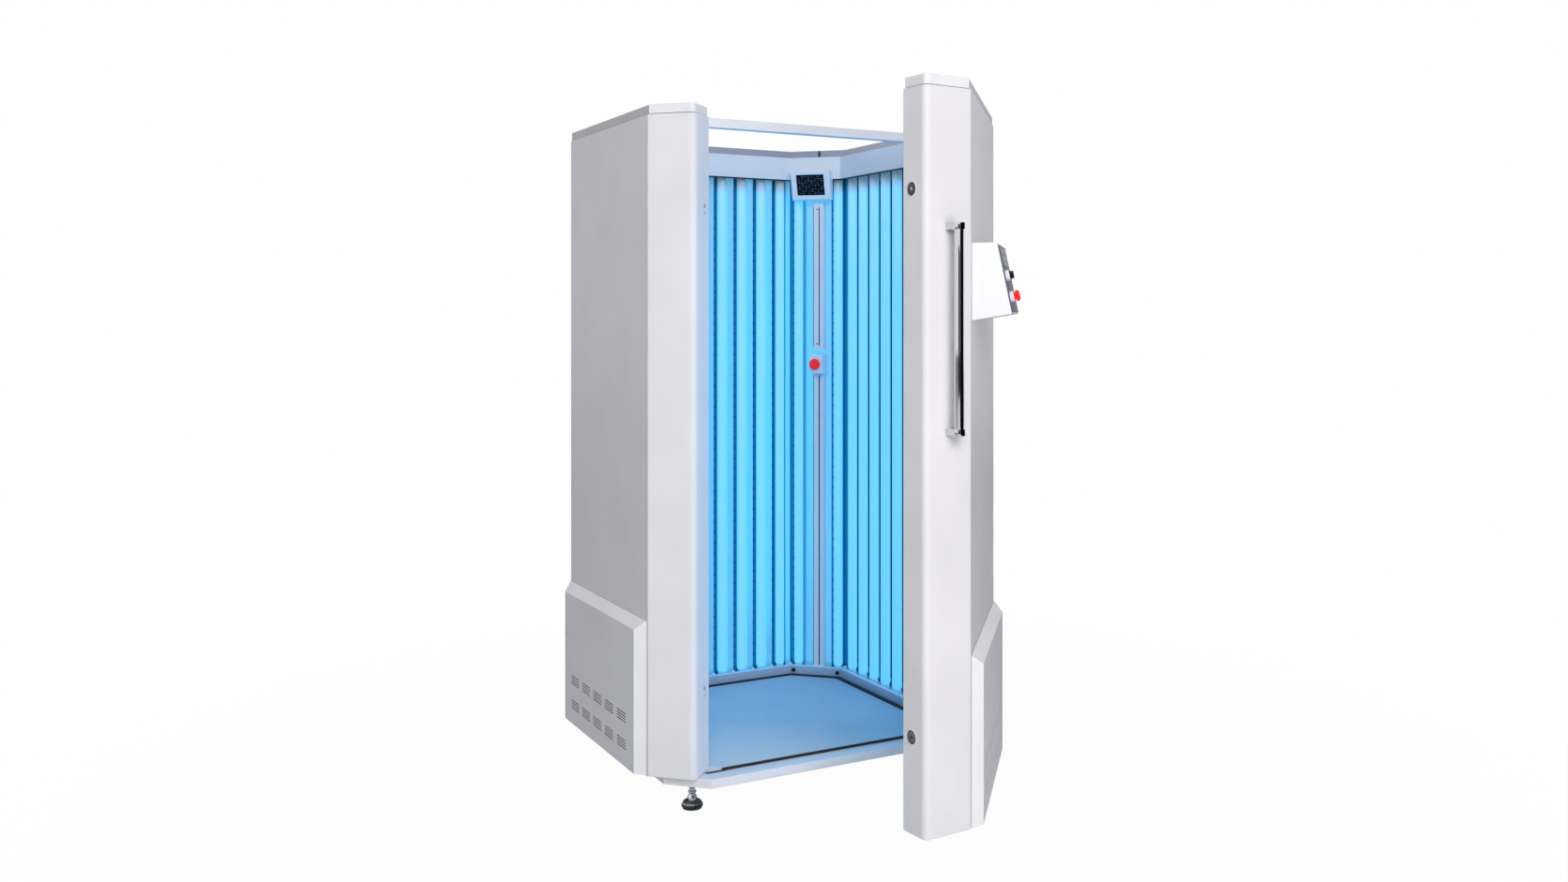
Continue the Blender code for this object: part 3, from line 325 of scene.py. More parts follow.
@dataclass(frozen=True)
class RolledSheet:
    """Rolled aluminium reflector sheet: bright, with faint rolling lines along its length."""

    name: str
    colour: str
    shade: str
    roughness: float = 0.30
    line_mm: float = 3.0
    line_stretch: float = 100.0
    tone_at: tuple[float, float] = (0.30, 0.70)
    gloss: tuple[float, float] = (-0.08, 0.10)
    glow: str = "#5cc4ea"
    painted_glow_strength: float = 0.0  # painted glow: emission for the lamps' light that the sheet throws back

    def build(self) -> bpy.types.Material:
        """Metal with upright streaks in tone and roughness."""
        made, tree, shader = start_material(self.name)
        drawn = add_node(tree, "ShaderNodeMapping", inputs={
            "Vector": place_in_object(tree), "Scale": (1.0, 1.0, 1.0 / self.line_stretch)})
        lines = noise(tree, drawn.outputs[0], self.line_mm, 3.0)
        wire(tree, shader, {
            "Base Color": two_tone(tree, self.shade, self.colour, lines, *self.tone_at),
            "Roughness": spread(tree, lines, *(self.roughness + step for step in self.gloss)),
            "Metallic": 1.0, "Emission Color": linear(self.glow),
            "Emission Strength": self.painted_glow_strength})
        return made


@dataclass(frozen=True)
class PlatedMetal:
    """Plated metal: chrome or zinc over steel, with fine turning or polishing marks."""

    name: str
    colour: str
    shade: str
    roughness: float
    mark_mm: float = 6.0
    tone_at: tuple[float, float] = (0.25, 0.75)
    gloss: tuple[float, float] = (0.7, 1.4)     # shares of the roughness

    def build(self) -> bpy.types.Material:
        """Metal with slightly uneven polish."""
        made, tree, shader = start_material(self.name)
        marks = noise(tree, place_in_object(tree), self.mark_mm, 4.0)
        wire(tree, shader, {
            "Base Color": two_tone(tree, self.shade, self.colour, marks, *self.tone_at),
            "Roughness": spread(tree, marks, *(self.roughness * share for share in self.gloss)),
            "Metallic": 1.0})
        return made


@dataclass(frozen=True)
class MouldedPlastic:
    """Injection-moulded plastic with a fine spark-eroded grain."""

    name: str
    colour: str
    shade: str
    roughness: float
    grain_mm: float = 1.6       # coarser than the real 0.2 mm grain, so that it shows
    tone_at: tuple[float, float] = (0.30, 0.70)
    gloss: tuple[float, float] = (-0.06, 0.08)
    bump: float = 0.08
    bump_depth: float = 0.0001
    glow: float = 0.0           # painted glow: emission that keeps a dyed plastic bright under the blue lamp light
    ior: float = 1.53

    def build(self) -> bpy.types.Material:
        """Plastic with grain in tone, gloss and relief."""
        made, tree, shader = start_material(self.name)
        grain = noise(tree, place_in_object(tree), self.grain_mm, 2.0)
        wire(tree, shader, {
            "Base Color": two_tone(tree, self.shade, self.colour, grain, *self.tone_at),
            "Roughness": spread(tree, grain, *(self.roughness + step for step in self.gloss)),
            "Normal": relief(tree, grain, self.bump, self.bump_depth), "IOR": self.ior,
            "Emission Color": linear(self.colour), "Emission Strength": self.glow})
        return made


class Finishes:
    """All finishes of the cabin, built once."""

    def __init__(self, lit_low: float, lit_high: float) -> None:
        """Build every material.

        Args:
            lit_low: Height at which the lamps are fully lit.
            lit_high: Height above which their glow fades.
        """
        self.white = PowderCoat("white_powder_coat_on_steel", "#e6e4e8", "#e0dee3").build()
        # Brighter white: the own colour of the control box, catch rings and pips, and a painted highlight
        # on the vent covers' rims.
        self.bright = PowderCoat("bright_white_coat_and_painted_highlight", "#f0f0f4", "#eaeaef").build()
        # Darker copy of the white coat for the caps' inner faces: painted shade.
        self.shaded = PowderCoat("white_coat_with_painted_inner_shade", "#9fa6ba", "#979eb3").build()
        # Darker, lavender copy of the white coat for the slanted walls: painted shade on them.
        self.panel = PowderCoat("lavender_white_coat_with_painted_shade", "#dedde7", "#d8d7e1").build()
        # Darker copy of the white coat for the caps' outer faces on the slanted walls: painted shade.
        self.edge = PowderCoat("white_coat_with_painted_side_shade", "#c0bdc5", "#b8b5be").build()
        # Darker, bluer copy of the white coat for the rails: painted shade and painted lamp light.
        self.rail = PowderCoat("white_coat_with_painted_rail_shade", "#b0b9c8", "#a6b0c1", 0.36).build()
        # Brighter copy of the white coat for the caps: painted light from above.
        self.cap = PowderCoat("white_coat_with_painted_top_light", "#ebeaef", "#e5e4ea").build()
        # Bluish copy of the white coat for valances, ledges and end plates: painted lamp light.
        self.inner = PowderCoat("white_coat_with_painted_lamp_light", "#dfe5f0", "#d6deeb", 0.36).build()
        # The floor's paler patch near the front is a painted pool of light.
        self.floor = LitPoolEnamel("floor_plate_satin_enamel", "#b6c2cf", "#aab8c8", 0.38, 7.0).build()
        self.lamp = LampGlass("coated_lamp_glass_lit", "#45b0ee", "#7d97ab", lit_low, lit_high).build()
        # Its glow is painted light from the lamps, on the reflector strips and the end caps.
        self.aluminium = RolledSheet("rolled_bright_aluminium", "#d8ecf6", "#c8e0ee", 0.30,
                                     painted_glow_strength=0.40).build()
        # Dark blue copy of the aluminium for the troughs: painted shade and painted lamp light.
        self.trough = RolledSheet("aluminium_with_painted_trough_shade", "#44a6c4", "#389ab8", 0.50).build()
        self.chrome = PlatedMetal("polished_chrome_plate", "#d6d7dc", "#cccdd3", 0.05, 3.0).build()
        self.smoke = PlatedMetal("smoked_chrome_plate", "#8a8a90", "#76767c", 0.18).build()
        self.zinc = PlatedMetal("zinc_plated_steel", "#a3a5aa", "#8c8e95", 0.34).build()
        # Black nylon of the feet and small parts; the same finish paints shade on the sheets behind the
        # vent slots.
        self.black = MouldedPlastic("black_nylon_and_painted_shade", "#17171a", "#0e0e10", 0.38).build()
        self.plastic = MouldedPlastic("white_moulded_abs", "#e4e8f0", "#dce2ec", 0.34).build()
        self.grey = MouldedPlastic("grey_moulded_abs", "#61617a", "#55556c", 0.45, ior=1.18).build()
        self.keypad = MouldedPlastic("dark_membrane_keypad", "#3a3a42", "#2c2c33", 0.30).build()
        # The red plastic's glow is painted light.
        self.red = MouldedPlastic("red_moulded_abs", "#ff1a12", "#f2100c", 0.30, glow=0.28).build()
        self.screen = MouldedPlastic("black_cover_glass", "#080a10", "#05070b", 0.34, bump=0.0,
                                     ior=1.25).build()
        self.hole = MouldedPlastic("shadowed_punched_hole", "#06182a", "#041220", 0.70).build()
        # Dark floor of the gap between rails and floor panel: painted shade.
        self.channel = MouldedPlastic("painted_shade_in_floor_gap", "#141a24", "#0d1219", 0.55).build()
        self.bronze = PlatedMetal("bronzed_catch_steel", "#8f857e", "#776e68", 0.42).build()
        self.gunmetal = MouldedPlastic("gunmetal_grey_acetal", "#3b3b40", "#2f2f34", 0.42).build()
        # Brown-black rubber of the floor edge; the same dark finish paints shade under the valance, on the
        # duct and in the cable entry.
        self.dark_rubber_and_shade = MouldedPlastic("brown_black_rubber_and_painted_shade", "#2a2522", "#1e1a18", 0.65).build()
        self.tick = MouldedPlastic("pale_screen_segment", "#5d6f80", "#4c5d6d", 0.30, bump=0.0).build()

    def for_slot(self, slot: str) -> bpy.types.Material:
        """Finish of a solid by its slot in the record."""
        return {"white_paint": self.white, "floor_paint": self.floor, "lamp_glass": self.lamp,
                "bright_aluminium": self.aluminium, "zinc_steel": self.zinc, "chrome": self.chrome,
                "black_plastic": self.black, "white_plastic": self.plastic,
                "grey_plastic": self.grey, "dark_glass": self.screen,
                "red_plastic": self.red}[slot]


def rotation(degrees: float, axis: str) -> Matrix:
    """Turn about one of the main axes."""
    return Matrix.Rotation(math.radians(degrees), 4, axis)


def oblong(near: float, far: float, low: float, high: float) -> list[tuple[float, float]]:
    """Corners of an upright rectangle as insets and heights."""
    return [(near, low), (far, low), (far, high), (near, high)]


INWARD = rotation(-90, "X")     # from Z to a wall's inward direction


class Side(Enum):
    """Sides of the cabin by their turn in degrees from the front."""

    FRONT = 0
    DOOR = 45
    RIGHT = 90
    REAR_RIGHT = 135
    REAR = 180
    REAR_LEFT = 225
    LEFT = 270
    FRONT_LEFT = 315

    @property
    def is_corner(self) -> bool:
        """True for the four narrow sides."""
        return self.value % 90 == 0


@dataclass(frozen=True)
class Plan:
    """Place and main sizes of the cabin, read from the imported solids."""

    centre: Vector
    half_width: float
    corner_half: float
    foot_level: float
    door_level: float
    hinge: Vector
    open_angle: float

    @classmethod
    def read(cls, frame: dict[str, Any]) -> "Plan":
        """Read the plan from the loaded frame.


        Returns:
            The cabin's plan.
        """
        base_low, base_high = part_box("base_frame")
        rear_low, rear_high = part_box("rear_corner_panel")
        centre = (base_low + base_high) / 2
        joints = frame["record"]["behaviour"]["joints"]
        swing = next(joint for joint in joints if joint["name"] == "door_hinge")
        return cls(Vector((centre.x, centre.y, 0.0)), rear_high.y - centre.y,
                   (rear_high.x - rear_low.x) / 2, rear_low.z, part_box("door_panel")[0].z,
                   Vector(swing["pos_m"]), -swing["range_deg"][0])

    def reach(self, side: Side) -> float:
        """Distance from the centre to a side's outer face."""
        return self.half_width if side.is_corner else (self.half_width + self.corner_half) / math.sqrt(2)

    def half(self, side: Side, inset: float) -> float:
        """Half the length of a side at an inset from its outer face."""
        outer = (self.corner_half if side.is_corner
                 else (self.half_width - self.corner_half) / math.sqrt(2))
        return outer - MITRE * inset

    def place(self, side: Side, on_door: bool) -> Matrix:
        """Matrix from a wall's own frame to the row frame.

        Args:
            side: Which side the frame belongs to.
            on_door: True for the part of a side that swings with the door.

        Returns:
            The matrix; its X runs along the wall, Y inwards and Z up.
        """
        level = self.door_level if on_door else self.foot_level
        wall = (Matrix.Translation(self.centre) @ rotation(side.value, "Z")
                @ Matrix.Translation((0, -self.reach(side), level)))
        if not on_door:
            return wall
        swing = rotation(self.open_angle, "Z")
        return Matrix.Translation(self.hinge) @ swing @ Matrix.Translation(-self.hinge) @ wall

    def ends(self, side: Side, gap: float = SEAT) -> tuple[EndAt, EndAt]:
        """Left and right end of a wall at an inset, each short of the mitre by a gap."""
        return (lambda inset: gap - self.half(side, inset)), (lambda inset: self.half(side, inset) - gap)


def finish_piece(name: str, mesh: bmesh.types.BMesh, place: Matrix, body: str,
                 material: bpy.types.Material, smooth: float | None = SMOOTH,
                 stands_for: Sequence[str] = ()) -> bpy.types.Object:
    """Turn a bmesh into a piece of the object.

    Args:
        name: Name of the piece.
        mesh: Its shape in its own frame; it is freed.
        place: Matrix from that frame to the row frame.
        body: CAD body that carries it.
        material: Its finish.
        smooth: Angle in degrees under which edges are smooth, or None for flat faces.
        stands_for: CAD nodes that it replaces.

    Returns:
        The piece.
    """
    bmesh.ops.remove_doubles(mesh, verts=mesh.verts, dist=SAME_POINT)
    bmesh.ops.transform(mesh, matrix=place, verts=mesh.verts)
    bmesh.ops.recalc_face_normals(mesh, faces=mesh.faces)
    data = bpy.data.meshes.new(name)
    mesh.to_mesh(data)
    mesh.free()
    if smooth is not None:
        data.shade_smooth()
        data.set_sharp_from_angle(angle=math.radians(smooth))
    data.materials.append(material)
    made = bpy.data.objects.new(name, data)
    bpy.context.scene.collection.objects.link(made)
    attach(made, body)
    if stands_for:
        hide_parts(*stands_for)
    LOG.info("built %s on %s", name, body)
    return made


def bevel_edges(mesh: bmesh.types.BMesh, edges: Iterable[bmesh.types.BMEdge], radius: float,
                segments: int = 3) -> None:
    """Round the given edges."""
    bmesh.ops.bevel(mesh, geom=list(edges), offset=radius, segments=segments, profile=0.5,
                    affect="EDGES", material=-1, clamp_overlap=True)


def add_block(mesh: bmesh.types.BMesh, size: Sequence[float], centre: Sequence[float],
              radius: float = 0.0, segments: int = 2) -> None:
    """Add a block with rounded edges to a bmesh.

    Args:
        mesh: Bmesh that gets the block.
        size: Its three sizes.
        centre: Its middle.
        radius: Radius of its edges.
        segments: Steps of the rounding.
    """
    place = Matrix.Translation(centre) @ Matrix.Diagonal((*size, 1.0))
    verts = bmesh.ops.create_cube(mesh, size=1.0, matrix=place)["verts"]
    if radius > 0:
        bevel_edges(mesh, {edge for vert in verts for edge in vert.link_edges}, radius, segments)


def added_verts(found: Iterable[Any]) -> list[bmesh.types.BMVert]:
    """Points among what an extrusion has added."""
    return [item for item in found if isinstance(item, bmesh.types.BMVert)]


def add_tube(mesh: bmesh.types.BMesh, radius: float, low: float, high: float,
             place: Matrix | None = None, sides: int = 28, rim: float = 0.0) -> None:
    """Add a capped cylinder along Z, with rounded rims, to a bmesh.

    Args:
        mesh: Bmesh that gets the cylinder.
        radius: Its radius.
        low: Its lower end.
        high: Its upper end.
        place: Frame that it stands in.
        sides: Number of its sides.
        rim: Radius of its rims.
    """
    shift = Matrix.Translation((0, 0, (low + high) / 2))
    verts = bmesh.ops.create_cone(mesh, cap_ends=True, segments=sides, radius1=radius,
                                  radius2=radius, depth=high - low,
                                  matrix=(place @ shift) if place else shift)["verts"]
    if rim > 0:
        caps = {face for vert in verts for face in vert.link_faces if len(face.verts) == sides}
        bevel_edges(mesh, {edge for face in caps for edge in face.edges}, rim, 3)


def add_turned(mesh: bmesh.types.BMesh, profile: Sequence[tuple[float, float]],
               place: Matrix | None = None, steps: int = 40) -> None:
    """Add a shape turned about Z to a bmesh.

    Args:
        mesh: Bmesh that gets the shape.
        profile: Radius and height of each point, from one end of the axis to the other.
        place: Frame that it stands in.
        steps: Number of its sides.
    """
    verts = [mesh.verts.new((radius, 0, height)) for radius, height in profile]
    edges = [mesh.edges.new(pair) for pair in zip(verts, verts[1:])]
    bmesh.ops.spin(mesh, geom=verts + edges, cent=(0, 0, 0), axis=(0, 0, 1), angle=math.tau,
                   steps=steps, use_merge=True)
    found, front = set(verts), list(verts)
    while front:
        near = {vert for edge in front.pop().link_edges for vert in edge.verts} - found
        found |= near
        front.extend(near)
    bmesh.ops.transform(mesh, matrix=place or Matrix.Identity(4), verts=list(found))
    bmesh.ops.remove_doubles(mesh, verts=list(found), dist=SAME_POINT)


def add_bar(mesh: bmesh.types.BMesh, profile: Sequence[tuple[float, float]], left: EndAt,
            right: EndAt, radius: float = 0.0) -> None:
    """Add a bar along X to a bmesh.

    Args:
        mesh: Bmesh that gets the bar.
        profile: Inset and height of each point of its section.
        left: Function that gives the left end at an inset.
        right: Function that gives the right end at an inset.
        radius: Radius of its long edges.
    """
    start = [mesh.verts.new((left(y), y, z)) for y, z in profile]
    face = mesh.faces.new(start)
    ends = added_verts(bmesh.ops.extrude_face_region(mesh, geom=[face])["geom"])
    for vert in ends:
        vert.co.x = right(vert.co.y)
    if radius > 0:
        group = set(start)
        long_edges = [edge for vert in ends for edge in vert.link_edges
                      if edge.other_vert(vert) in group]
        bevel_edges(mesh, long_edges, radius, 3)


def add_upright(mesh: bmesh.types.BMesh, path: Sequence[tuple[float, float]], sheet: float,
                low: float, high: float) -> None:
    """Add an upright folded sheet to a bmesh.

    Args:
        mesh: Bmesh that gets the sheet.
        path: Plan points of its front face.
        sheet: Its thickness, behind that face.
        low: Its lower edge.
        high: Its upper edge.
    """
    outline = [(x, y - sheet) for x, y in path] + list(reversed(path))
    face = mesh.faces.new([mesh.verts.new((x, y, low)) for x, y in outline])
    raised = added_verts(bmesh.ops.extrude_face_region(mesh, geom=[face])["geom"])
    bmesh.ops.translate(mesh, verts=raised, vec=(0, 0, high - low))


def join_mesh(mesh: bmesh.types.BMesh, piece: bmesh.types.BMesh, place: Matrix) -> None:
    """Put one bmesh in its place in another and free it.

    Args:
        mesh: Bmesh that gets the copy.
        piece: Bmesh that is freed.
        place: Matrix from the frame of the piece to that of the other.
    """
    bmesh.ops.transform(piece, matrix=place, verts=piece.verts)
    data = bpy.data.meshes.new("joined_piece")
    piece.to_mesh(data)
    piece.free()
    mesh.from_mesh(data)
    bpy.data.meshes.remove(data)


def add_screw_head(mesh: bmesh.types.BMesh, place: Matrix, radius: float) -> None:
    """Add a pan-head screw with a round recess, head along +Z of its frame."""
    height = radius * 0.55
    shares = ((0, 0.45), (0.42, 0.45), (0.45, 1), (0.80, 0.85), (1, 0.35), (1, 0), (0, 0))
    add_turned(mesh, [(radius * out, height * up) for out, up in shares], place, 12)


@dataclass
class LampBank:
    """Lamps of one wall with their rails, end caps, clips and the punched reflector."""

    name: str
    side: Side
    body: str
    plan: Plan
    finishes: Finishes
    lamp_radius: float = 0.0168
    lamp_shoulder: float = 0.008
    lamp_inset: float = 0.090
    pitch: float = 0.078
    count: int = 8
    corner_offset: float = 0.076
    rail_back: float = 0.064
    rail_front: float = 0.128
    rail_height: float = 0.037
    rail_edge: float = 0.0012
    ledge: float = 0.018
    ledge_rises: tuple[float, float] = (0.0001, 0.0006)     # of its underside and top above the rail
    ledge_gap: float = 0.001
    ledge_setback: float = 0.0014
    socket_height: float = 0.028
    top_low: float = 1.835
    top_height: float = 0.025
    valance: float = 0.0018         # depth that the valance takes in front of the strip
    valance_top: float = 1.9074
    end_plate: float = 0.0016
    end_plate_setback: float = 0.0022
    tube_low: float = 0.040
    cap_share: float = 0.82         # radius of an end cap to that of its lamp
    cap_overlap: float = 0.002
    cap_rim: float = 0.001
    clip_size: tuple[float, float, float] = (0.010, 0.008, 0.014)
    clip_setback: float = 0.006
    clip_middle: float = 0.0075
    clip_edge: float = 0.0015
    back: float = 0.068
    ridge: float = 0.081
    trough_half: float = 0.015
    sheet: float = 0.001
    # dark strip of painted shade under the valance
    shade_line_drop: float = 0.011
    shade_line_depth: float = 0.004
    hole_pitch: float = 0.038
    hole_radius: float = 0.0048
    hole_start: float = 0.085
    hole_room: float = 0.13         # height without holes, at both ends together
    hole_span: tuple[float, float] = (-0.0002, 0.0004)      # across the reflector's face
    hole_sides: int = 8
    # dark strip of painted shade behind each lamp
    shade_strip_half: float = 0.006
    shade_strip_margin: float = 0.030
    shade_strip_sheet: float = 0.0005
    shade_strip_middle: float = 0.0002     # of that sheet, in front of the reflector's face

    def lamp_places(self) -> list[float]:
        """Places of the lamps along the wall."""
        if self.side.is_corner:
            return [-self.corner_offset, self.corner_offset]
        return [(i - (self.count - 1) / 2) * self.pitch for i in range(self.count)]

    @property
    def trough_reach(self) -> float:
        """Distance from a lamp's axis to the edge of its trough."""
        return self.trough_half + self.ridge - self.back

    def ridge_spans(self) -> list[tuple[float, float]]:
        """Ends of the raised strips between neighbouring lamps."""
        lamps, wide = self.lamp_places(), self.trough_reach
        return [(a + wide, b - wide) for a, b in zip(lamps, lamps[1:])]

    def edge_spans(self) -> list[tuple[float, float]]:
        """Ends of the narrow strips between the outer lamps and the mitred edges."""
        end = self.plan.half(self.side, self.ridge) - SEAT
        outer = self.lamp_places()[-1] + self.trough_reach
        return [(-end, -outer), (outer, end)]

    def build(self) -> None:
        """Build every piece of the bank."""
        place = self.plan.place(self.side, self.body == "door")
        for step in (self.build_rail, self.build_end_plates, self.build_shade_line, self.build_tubes,
                     self.build_end_caps, self.build_reflector, self.build_holes):
            step(place)

    def finish(self, part: str, mesh: bmesh.types.BMesh, place: Matrix, material: bpy.types.Material,
               smooth: float | None = None, stands_for: Sequence[str] = ()) -> None:
        """Turn a bmesh into a piece of this bank.

        Args:
            part: Last part of the piece's name.
            mesh: Its shape in the wall's own frame; it is freed.
            place: Matrix from that frame to the row frame.
            material: Its finish.
            smooth: Angle in degrees under which edges are smooth, or None for flat faces.
            stands_for: Last parts of the names of the CAD nodes that it replaces.
        """
        finish_piece(f"{self.name}_{part}", mesh, place, self.body, material, smooth,
                     [f"{self.name}_{node}" for node in stands_for])

    def build_rail(self, place: Matrix) -> None:
        """Folded rail with its ledge in front of the lamp ends, and the strip at their tops."""
        shelf = self.rail_front - self.ledge
        lower = [(self.rail_back, 0.0), (self.rail_front, 0.0), (self.rail_front, self.rail_height),
                 (shelf, self.rail_height), (shelf, self.socket_height),
                 (self.rail_back, self.socket_height)]
        upper = oblong(self.rail_back, self.rail_front - self.valance, self.top_low,
                       self.top_low + self.top_height)
        mesh = bmesh.new()
        for profile in (lower, upper):
            add_bar(mesh, profile, *self.plan.ends(self.side), self.rail_edge)
        # The rails' darker, bluer finish is painted shade and lamp light.
        self.finish("rails", mesh, place, self.finishes.rail, SMOOTH, ["lamps"])
        back, front = shelf + SEAT, self.rail_front - self.ledge_setback
        under, top = (self.rail_height + rise for rise in self.ledge_rises)
        mesh = bmesh.new()
        add_bar(mesh, oblong(back, front, under, top), *self.plan.ends(self.side, self.ledge_gap))
        # The ledge's pale blue finish is painted lamp light.
        self.finish("rail_ledge", mesh, place, self.finishes.inner)

    def build_end_plates(self, place: Matrix) -> None:
        """Plates that close the hollow behind the valance where the walls end at the doorway."""
        hands = {Side.FRONT_LEFT: (1,), Side.REAR_RIGHT: (-1,), Side.DOOR: (-1, 1)}.get(self.side, ())
        if not hands:
            return
        profile = oblong(self.rail_back, self.rail_front - self.end_plate_setback,
                         self.top_low + self.top_height + SEAT, self.valance_top)
        mesh = bmesh.new()
        for hand in hands:
            add_bar(mesh, profile, lambda y: hand * (self.plan.half(self.side, y) - self.end_plate),
                    lambda y: hand * (self.plan.half(self.side, y) - 2 * SEAT))
        self.finish("valance_ends", mesh, place, self.finishes.inner)

    def build_shade_line(self, place: Matrix) -> None:
        """Dark strip behind the lower edge of the valance: painted shade."""
        front = self.rail_front - self.valance
        profile = oblong(front - self.shade_line_depth, front, self.top_low - self.shade_line_drop,
                         self.top_low - SEAT)
        mesh = bmesh.new()
        add_bar(mesh, profile, *self.plan.ends(self.side))
        self.finish("valance_shade_line", mesh, place, self.finishes.dark_rubber_and_shade)

    def build_tubes(self, place: Matrix) -> None:
        """Glass tubes with rounded shoulders."""
        mesh = bmesh.new()
        for along in self.lamp_places():
            spot = Matrix.Translation((along, self.lamp_inset, 0))
            add_tube(mesh, self.lamp_radius, self.tube_low, self.top_low - SEAT, spot,
                     rim=self.lamp_shoulder)
        self.finish("tubes", mesh, place, self.finishes.lamp, SMOOTH_ROUND)

    def build_end_caps(self, place: Matrix) -> None:
        """Lamp end caps and the small clips behind the ledge."""
        caps, clips = bmesh.new(), bmesh.new()
        for along in self.lamp_places():
            spot = Matrix.Translation((along, self.lamp_inset, 0))
            add_tube(caps, self.lamp_radius * self.cap_share, self.socket_height + SEAT,
                     self.tube_low + self.cap_overlap, spot, sides=24, rim=self.cap_rim)
        for left, right in self.ridge_spans() + self.edge_spans():
            add_block(clips, self.clip_size,
                      ((left + right) / 2, self.rail_front - self.ledge - self.clip_setback,
                       self.socket_height + self.clip_middle), self.clip_edge)
        self.finish("end_caps", caps, place, self.finishes.aluminium, SMOOTH)
        self.finish("clips", clips, place, self.finishes.plastic, SMOOTH)

    def build_reflector(self, place: Matrix) -> None:
        """Bright strips between the lamps, each with a trough side, and the rest of the troughs in a dark
        blue finish that paints shade and lamp light.
        """
        low, high = self.socket_height + SEAT, self.top_low - SEAT
        strips, troughs = bmesh.new(), bmesh.new()
        drop = self.ridge - self.back
        for left, right in self.ridge_spans():
            path = [(left, self.ridge), (right, self.ridge), (right + drop, self.back)]
            add_upright(strips, path, self.sheet, low, high)
        edges = troughs if self.side.is_corner else strips
        for left, right in self.edge_spans():
            add_upright(edges, [(left, self.ridge), (right, self.ridge)], self.sheet, low, high)
        for i, along in enumerate(self.lamp_places()):
            wide, narrow = self.trough_reach, self.trough_half
            path = [(along - narrow, self.back), (along + narrow, self.back), (along + wide, self.ridge)]
            if i == 0:
                path.insert(0, (along - wide, self.ridge))
            add_upright(troughs, path, self.sheet, low, high)
        self.finish("reflector_strips", strips, place, self.finishes.aluminium,
                    stands_for=["reflector"])
        self.finish("reflector_troughs", troughs, place, self.finishes.trough)

    def hole_spots(self) -> list[Matrix]:
        """Frames of the rows of punched holes, one in the darker, painted-shade side of each trough."""
        slope = rotation(45, "Z") @ INWARD
        out, deep = (self.trough_half + self.trough_reach) / 2, (self.back + self.ridge) / 2
        return [Matrix.Translation((along + out, deep, 0)) @ slope for along in self.lamp_places()]

    def build_holes(self, place: Matrix) -> None:
        """Cooling holes of the reflector as dark discs of painted shade, and a dark strip of painted shade
        on its face behind each lamp.
        """
        mesh = bmesh.new()
        count = int((self.top_low - self.hole_room) / self.hole_pitch)
        for row in self.hole_spots():
            for i in range(count):
                lift = Matrix.Translation((0, 0, self.hole_start + i * self.hole_pitch))
                add_tube(mesh, self.hole_radius, *self.hole_span, lift @ row, self.hole_sides)
        low, high = self.socket_height + self.shade_strip_margin, self.top_low - self.shade_strip_margin
        for along in self.lamp_places():
            add_block(mesh, (2 * self.shade_strip_half, self.shade_strip_sheet, high - low),
                      (along, self.back + self.shade_strip_middle, (low + high) / 2))
        self.finish("punched_holes_and_shade_strips", mesh, place, self.finishes.hole)


@dataclass
class LevellingFoot:
    """Levelling foot: chrome stem with its lock collar, on a smoked dome with a black rim."""

    side: str
    finishes: Finishes
    bell_radius: float = 0.0315
    bell_height: float = 0.026
    stem_radius: float = 0.0112
    neck_radius: float = 0.0082
    thread_radius: float = 0.0058
    thread_length: float = 0.015
    rim_share: float = 0.52         # height of the black rim to that of the whole bell

    def stem_profile(self, top: float) -> list[tuple[float, float]]:
        """Half section of thread, stem, lock collar and flare, from the top down."""
        stem, neck, thread = self.stem_radius, self.neck_radius, self.thread_radius
        nut, foot = top - self.thread_length, self.bell_height - 0.003
        turned = ((stem - 0.001, 0.0), (stem, 0.001), (stem, 0.017), (stem - 0.001, 0.018),
                  (neck, 0.022), (neck, 0.027), (stem + 0.0005, 0.029), (stem + 0.0013, 0.031),
                  (stem + 0.0005, 0.033), (neck + 0.001, 0.036), (neck + 0.001, 0.038),
                  (stem + 0.002, 0.044))        # radius, and drop below the thread
        return [(0, top), (thread, top), (thread, nut), *((out, nut - drop) for out, drop in turned),
                (stem + 0.002, foot), (0, foot)]

    def build(self) -> None:
        """Build stem, dome and rim in place of the plain solid."""
        body = f"{self.side}_foot"
        low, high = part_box(body)
        middle = (low + high) / 2
        wide, foot = self.bell_radius, self.bell_height
        rim = foot * self.rim_share
        dome = [(0, foot - 0.004), (wide * 0.46, foot - 0.003), (wide * 0.60, foot - 0.0015),
                (wide * 0.66, foot - 0.002), (wide * 0.84, foot - 0.006), (wide * 0.94, rim + 0.001),
                (wide * 0.95, rim + SEAT), (0, rim + SEAT)]
        bell = [(0, rim), (wide * 0.96, rim), (wide, foot * 0.44), (wide * 0.99, foot * 0.28),
                (wide * 0.93, foot * 0.16), (wide * 0.90, foot * 0.12), (wide * 0.90, foot * 0.03),
                (wide * 0.87, 0), (0, 0)]
        for part, profile, material, slot, smooth, stands_for in (
                ("stem", self.stem_profile(high.z - low.z), self.finishes.chrome, "chrome", SMOOTH_STEM,
                 [body]),
                ("dome", dome, self.finishes.smoke, "chrome", SMOOTH_TURNED, []),
                ("bell", bell, self.finishes.black, "black_plastic", SMOOTH_TURNED, [])):
            mesh = bmesh.new()
            add_turned(mesh, profile, Matrix.Translation((middle.x, middle.y, low.z)))
            finish_piece(f"{body}_{part}", mesh, Matrix.Identity(4), body, material, smooth,
                         stands_for)


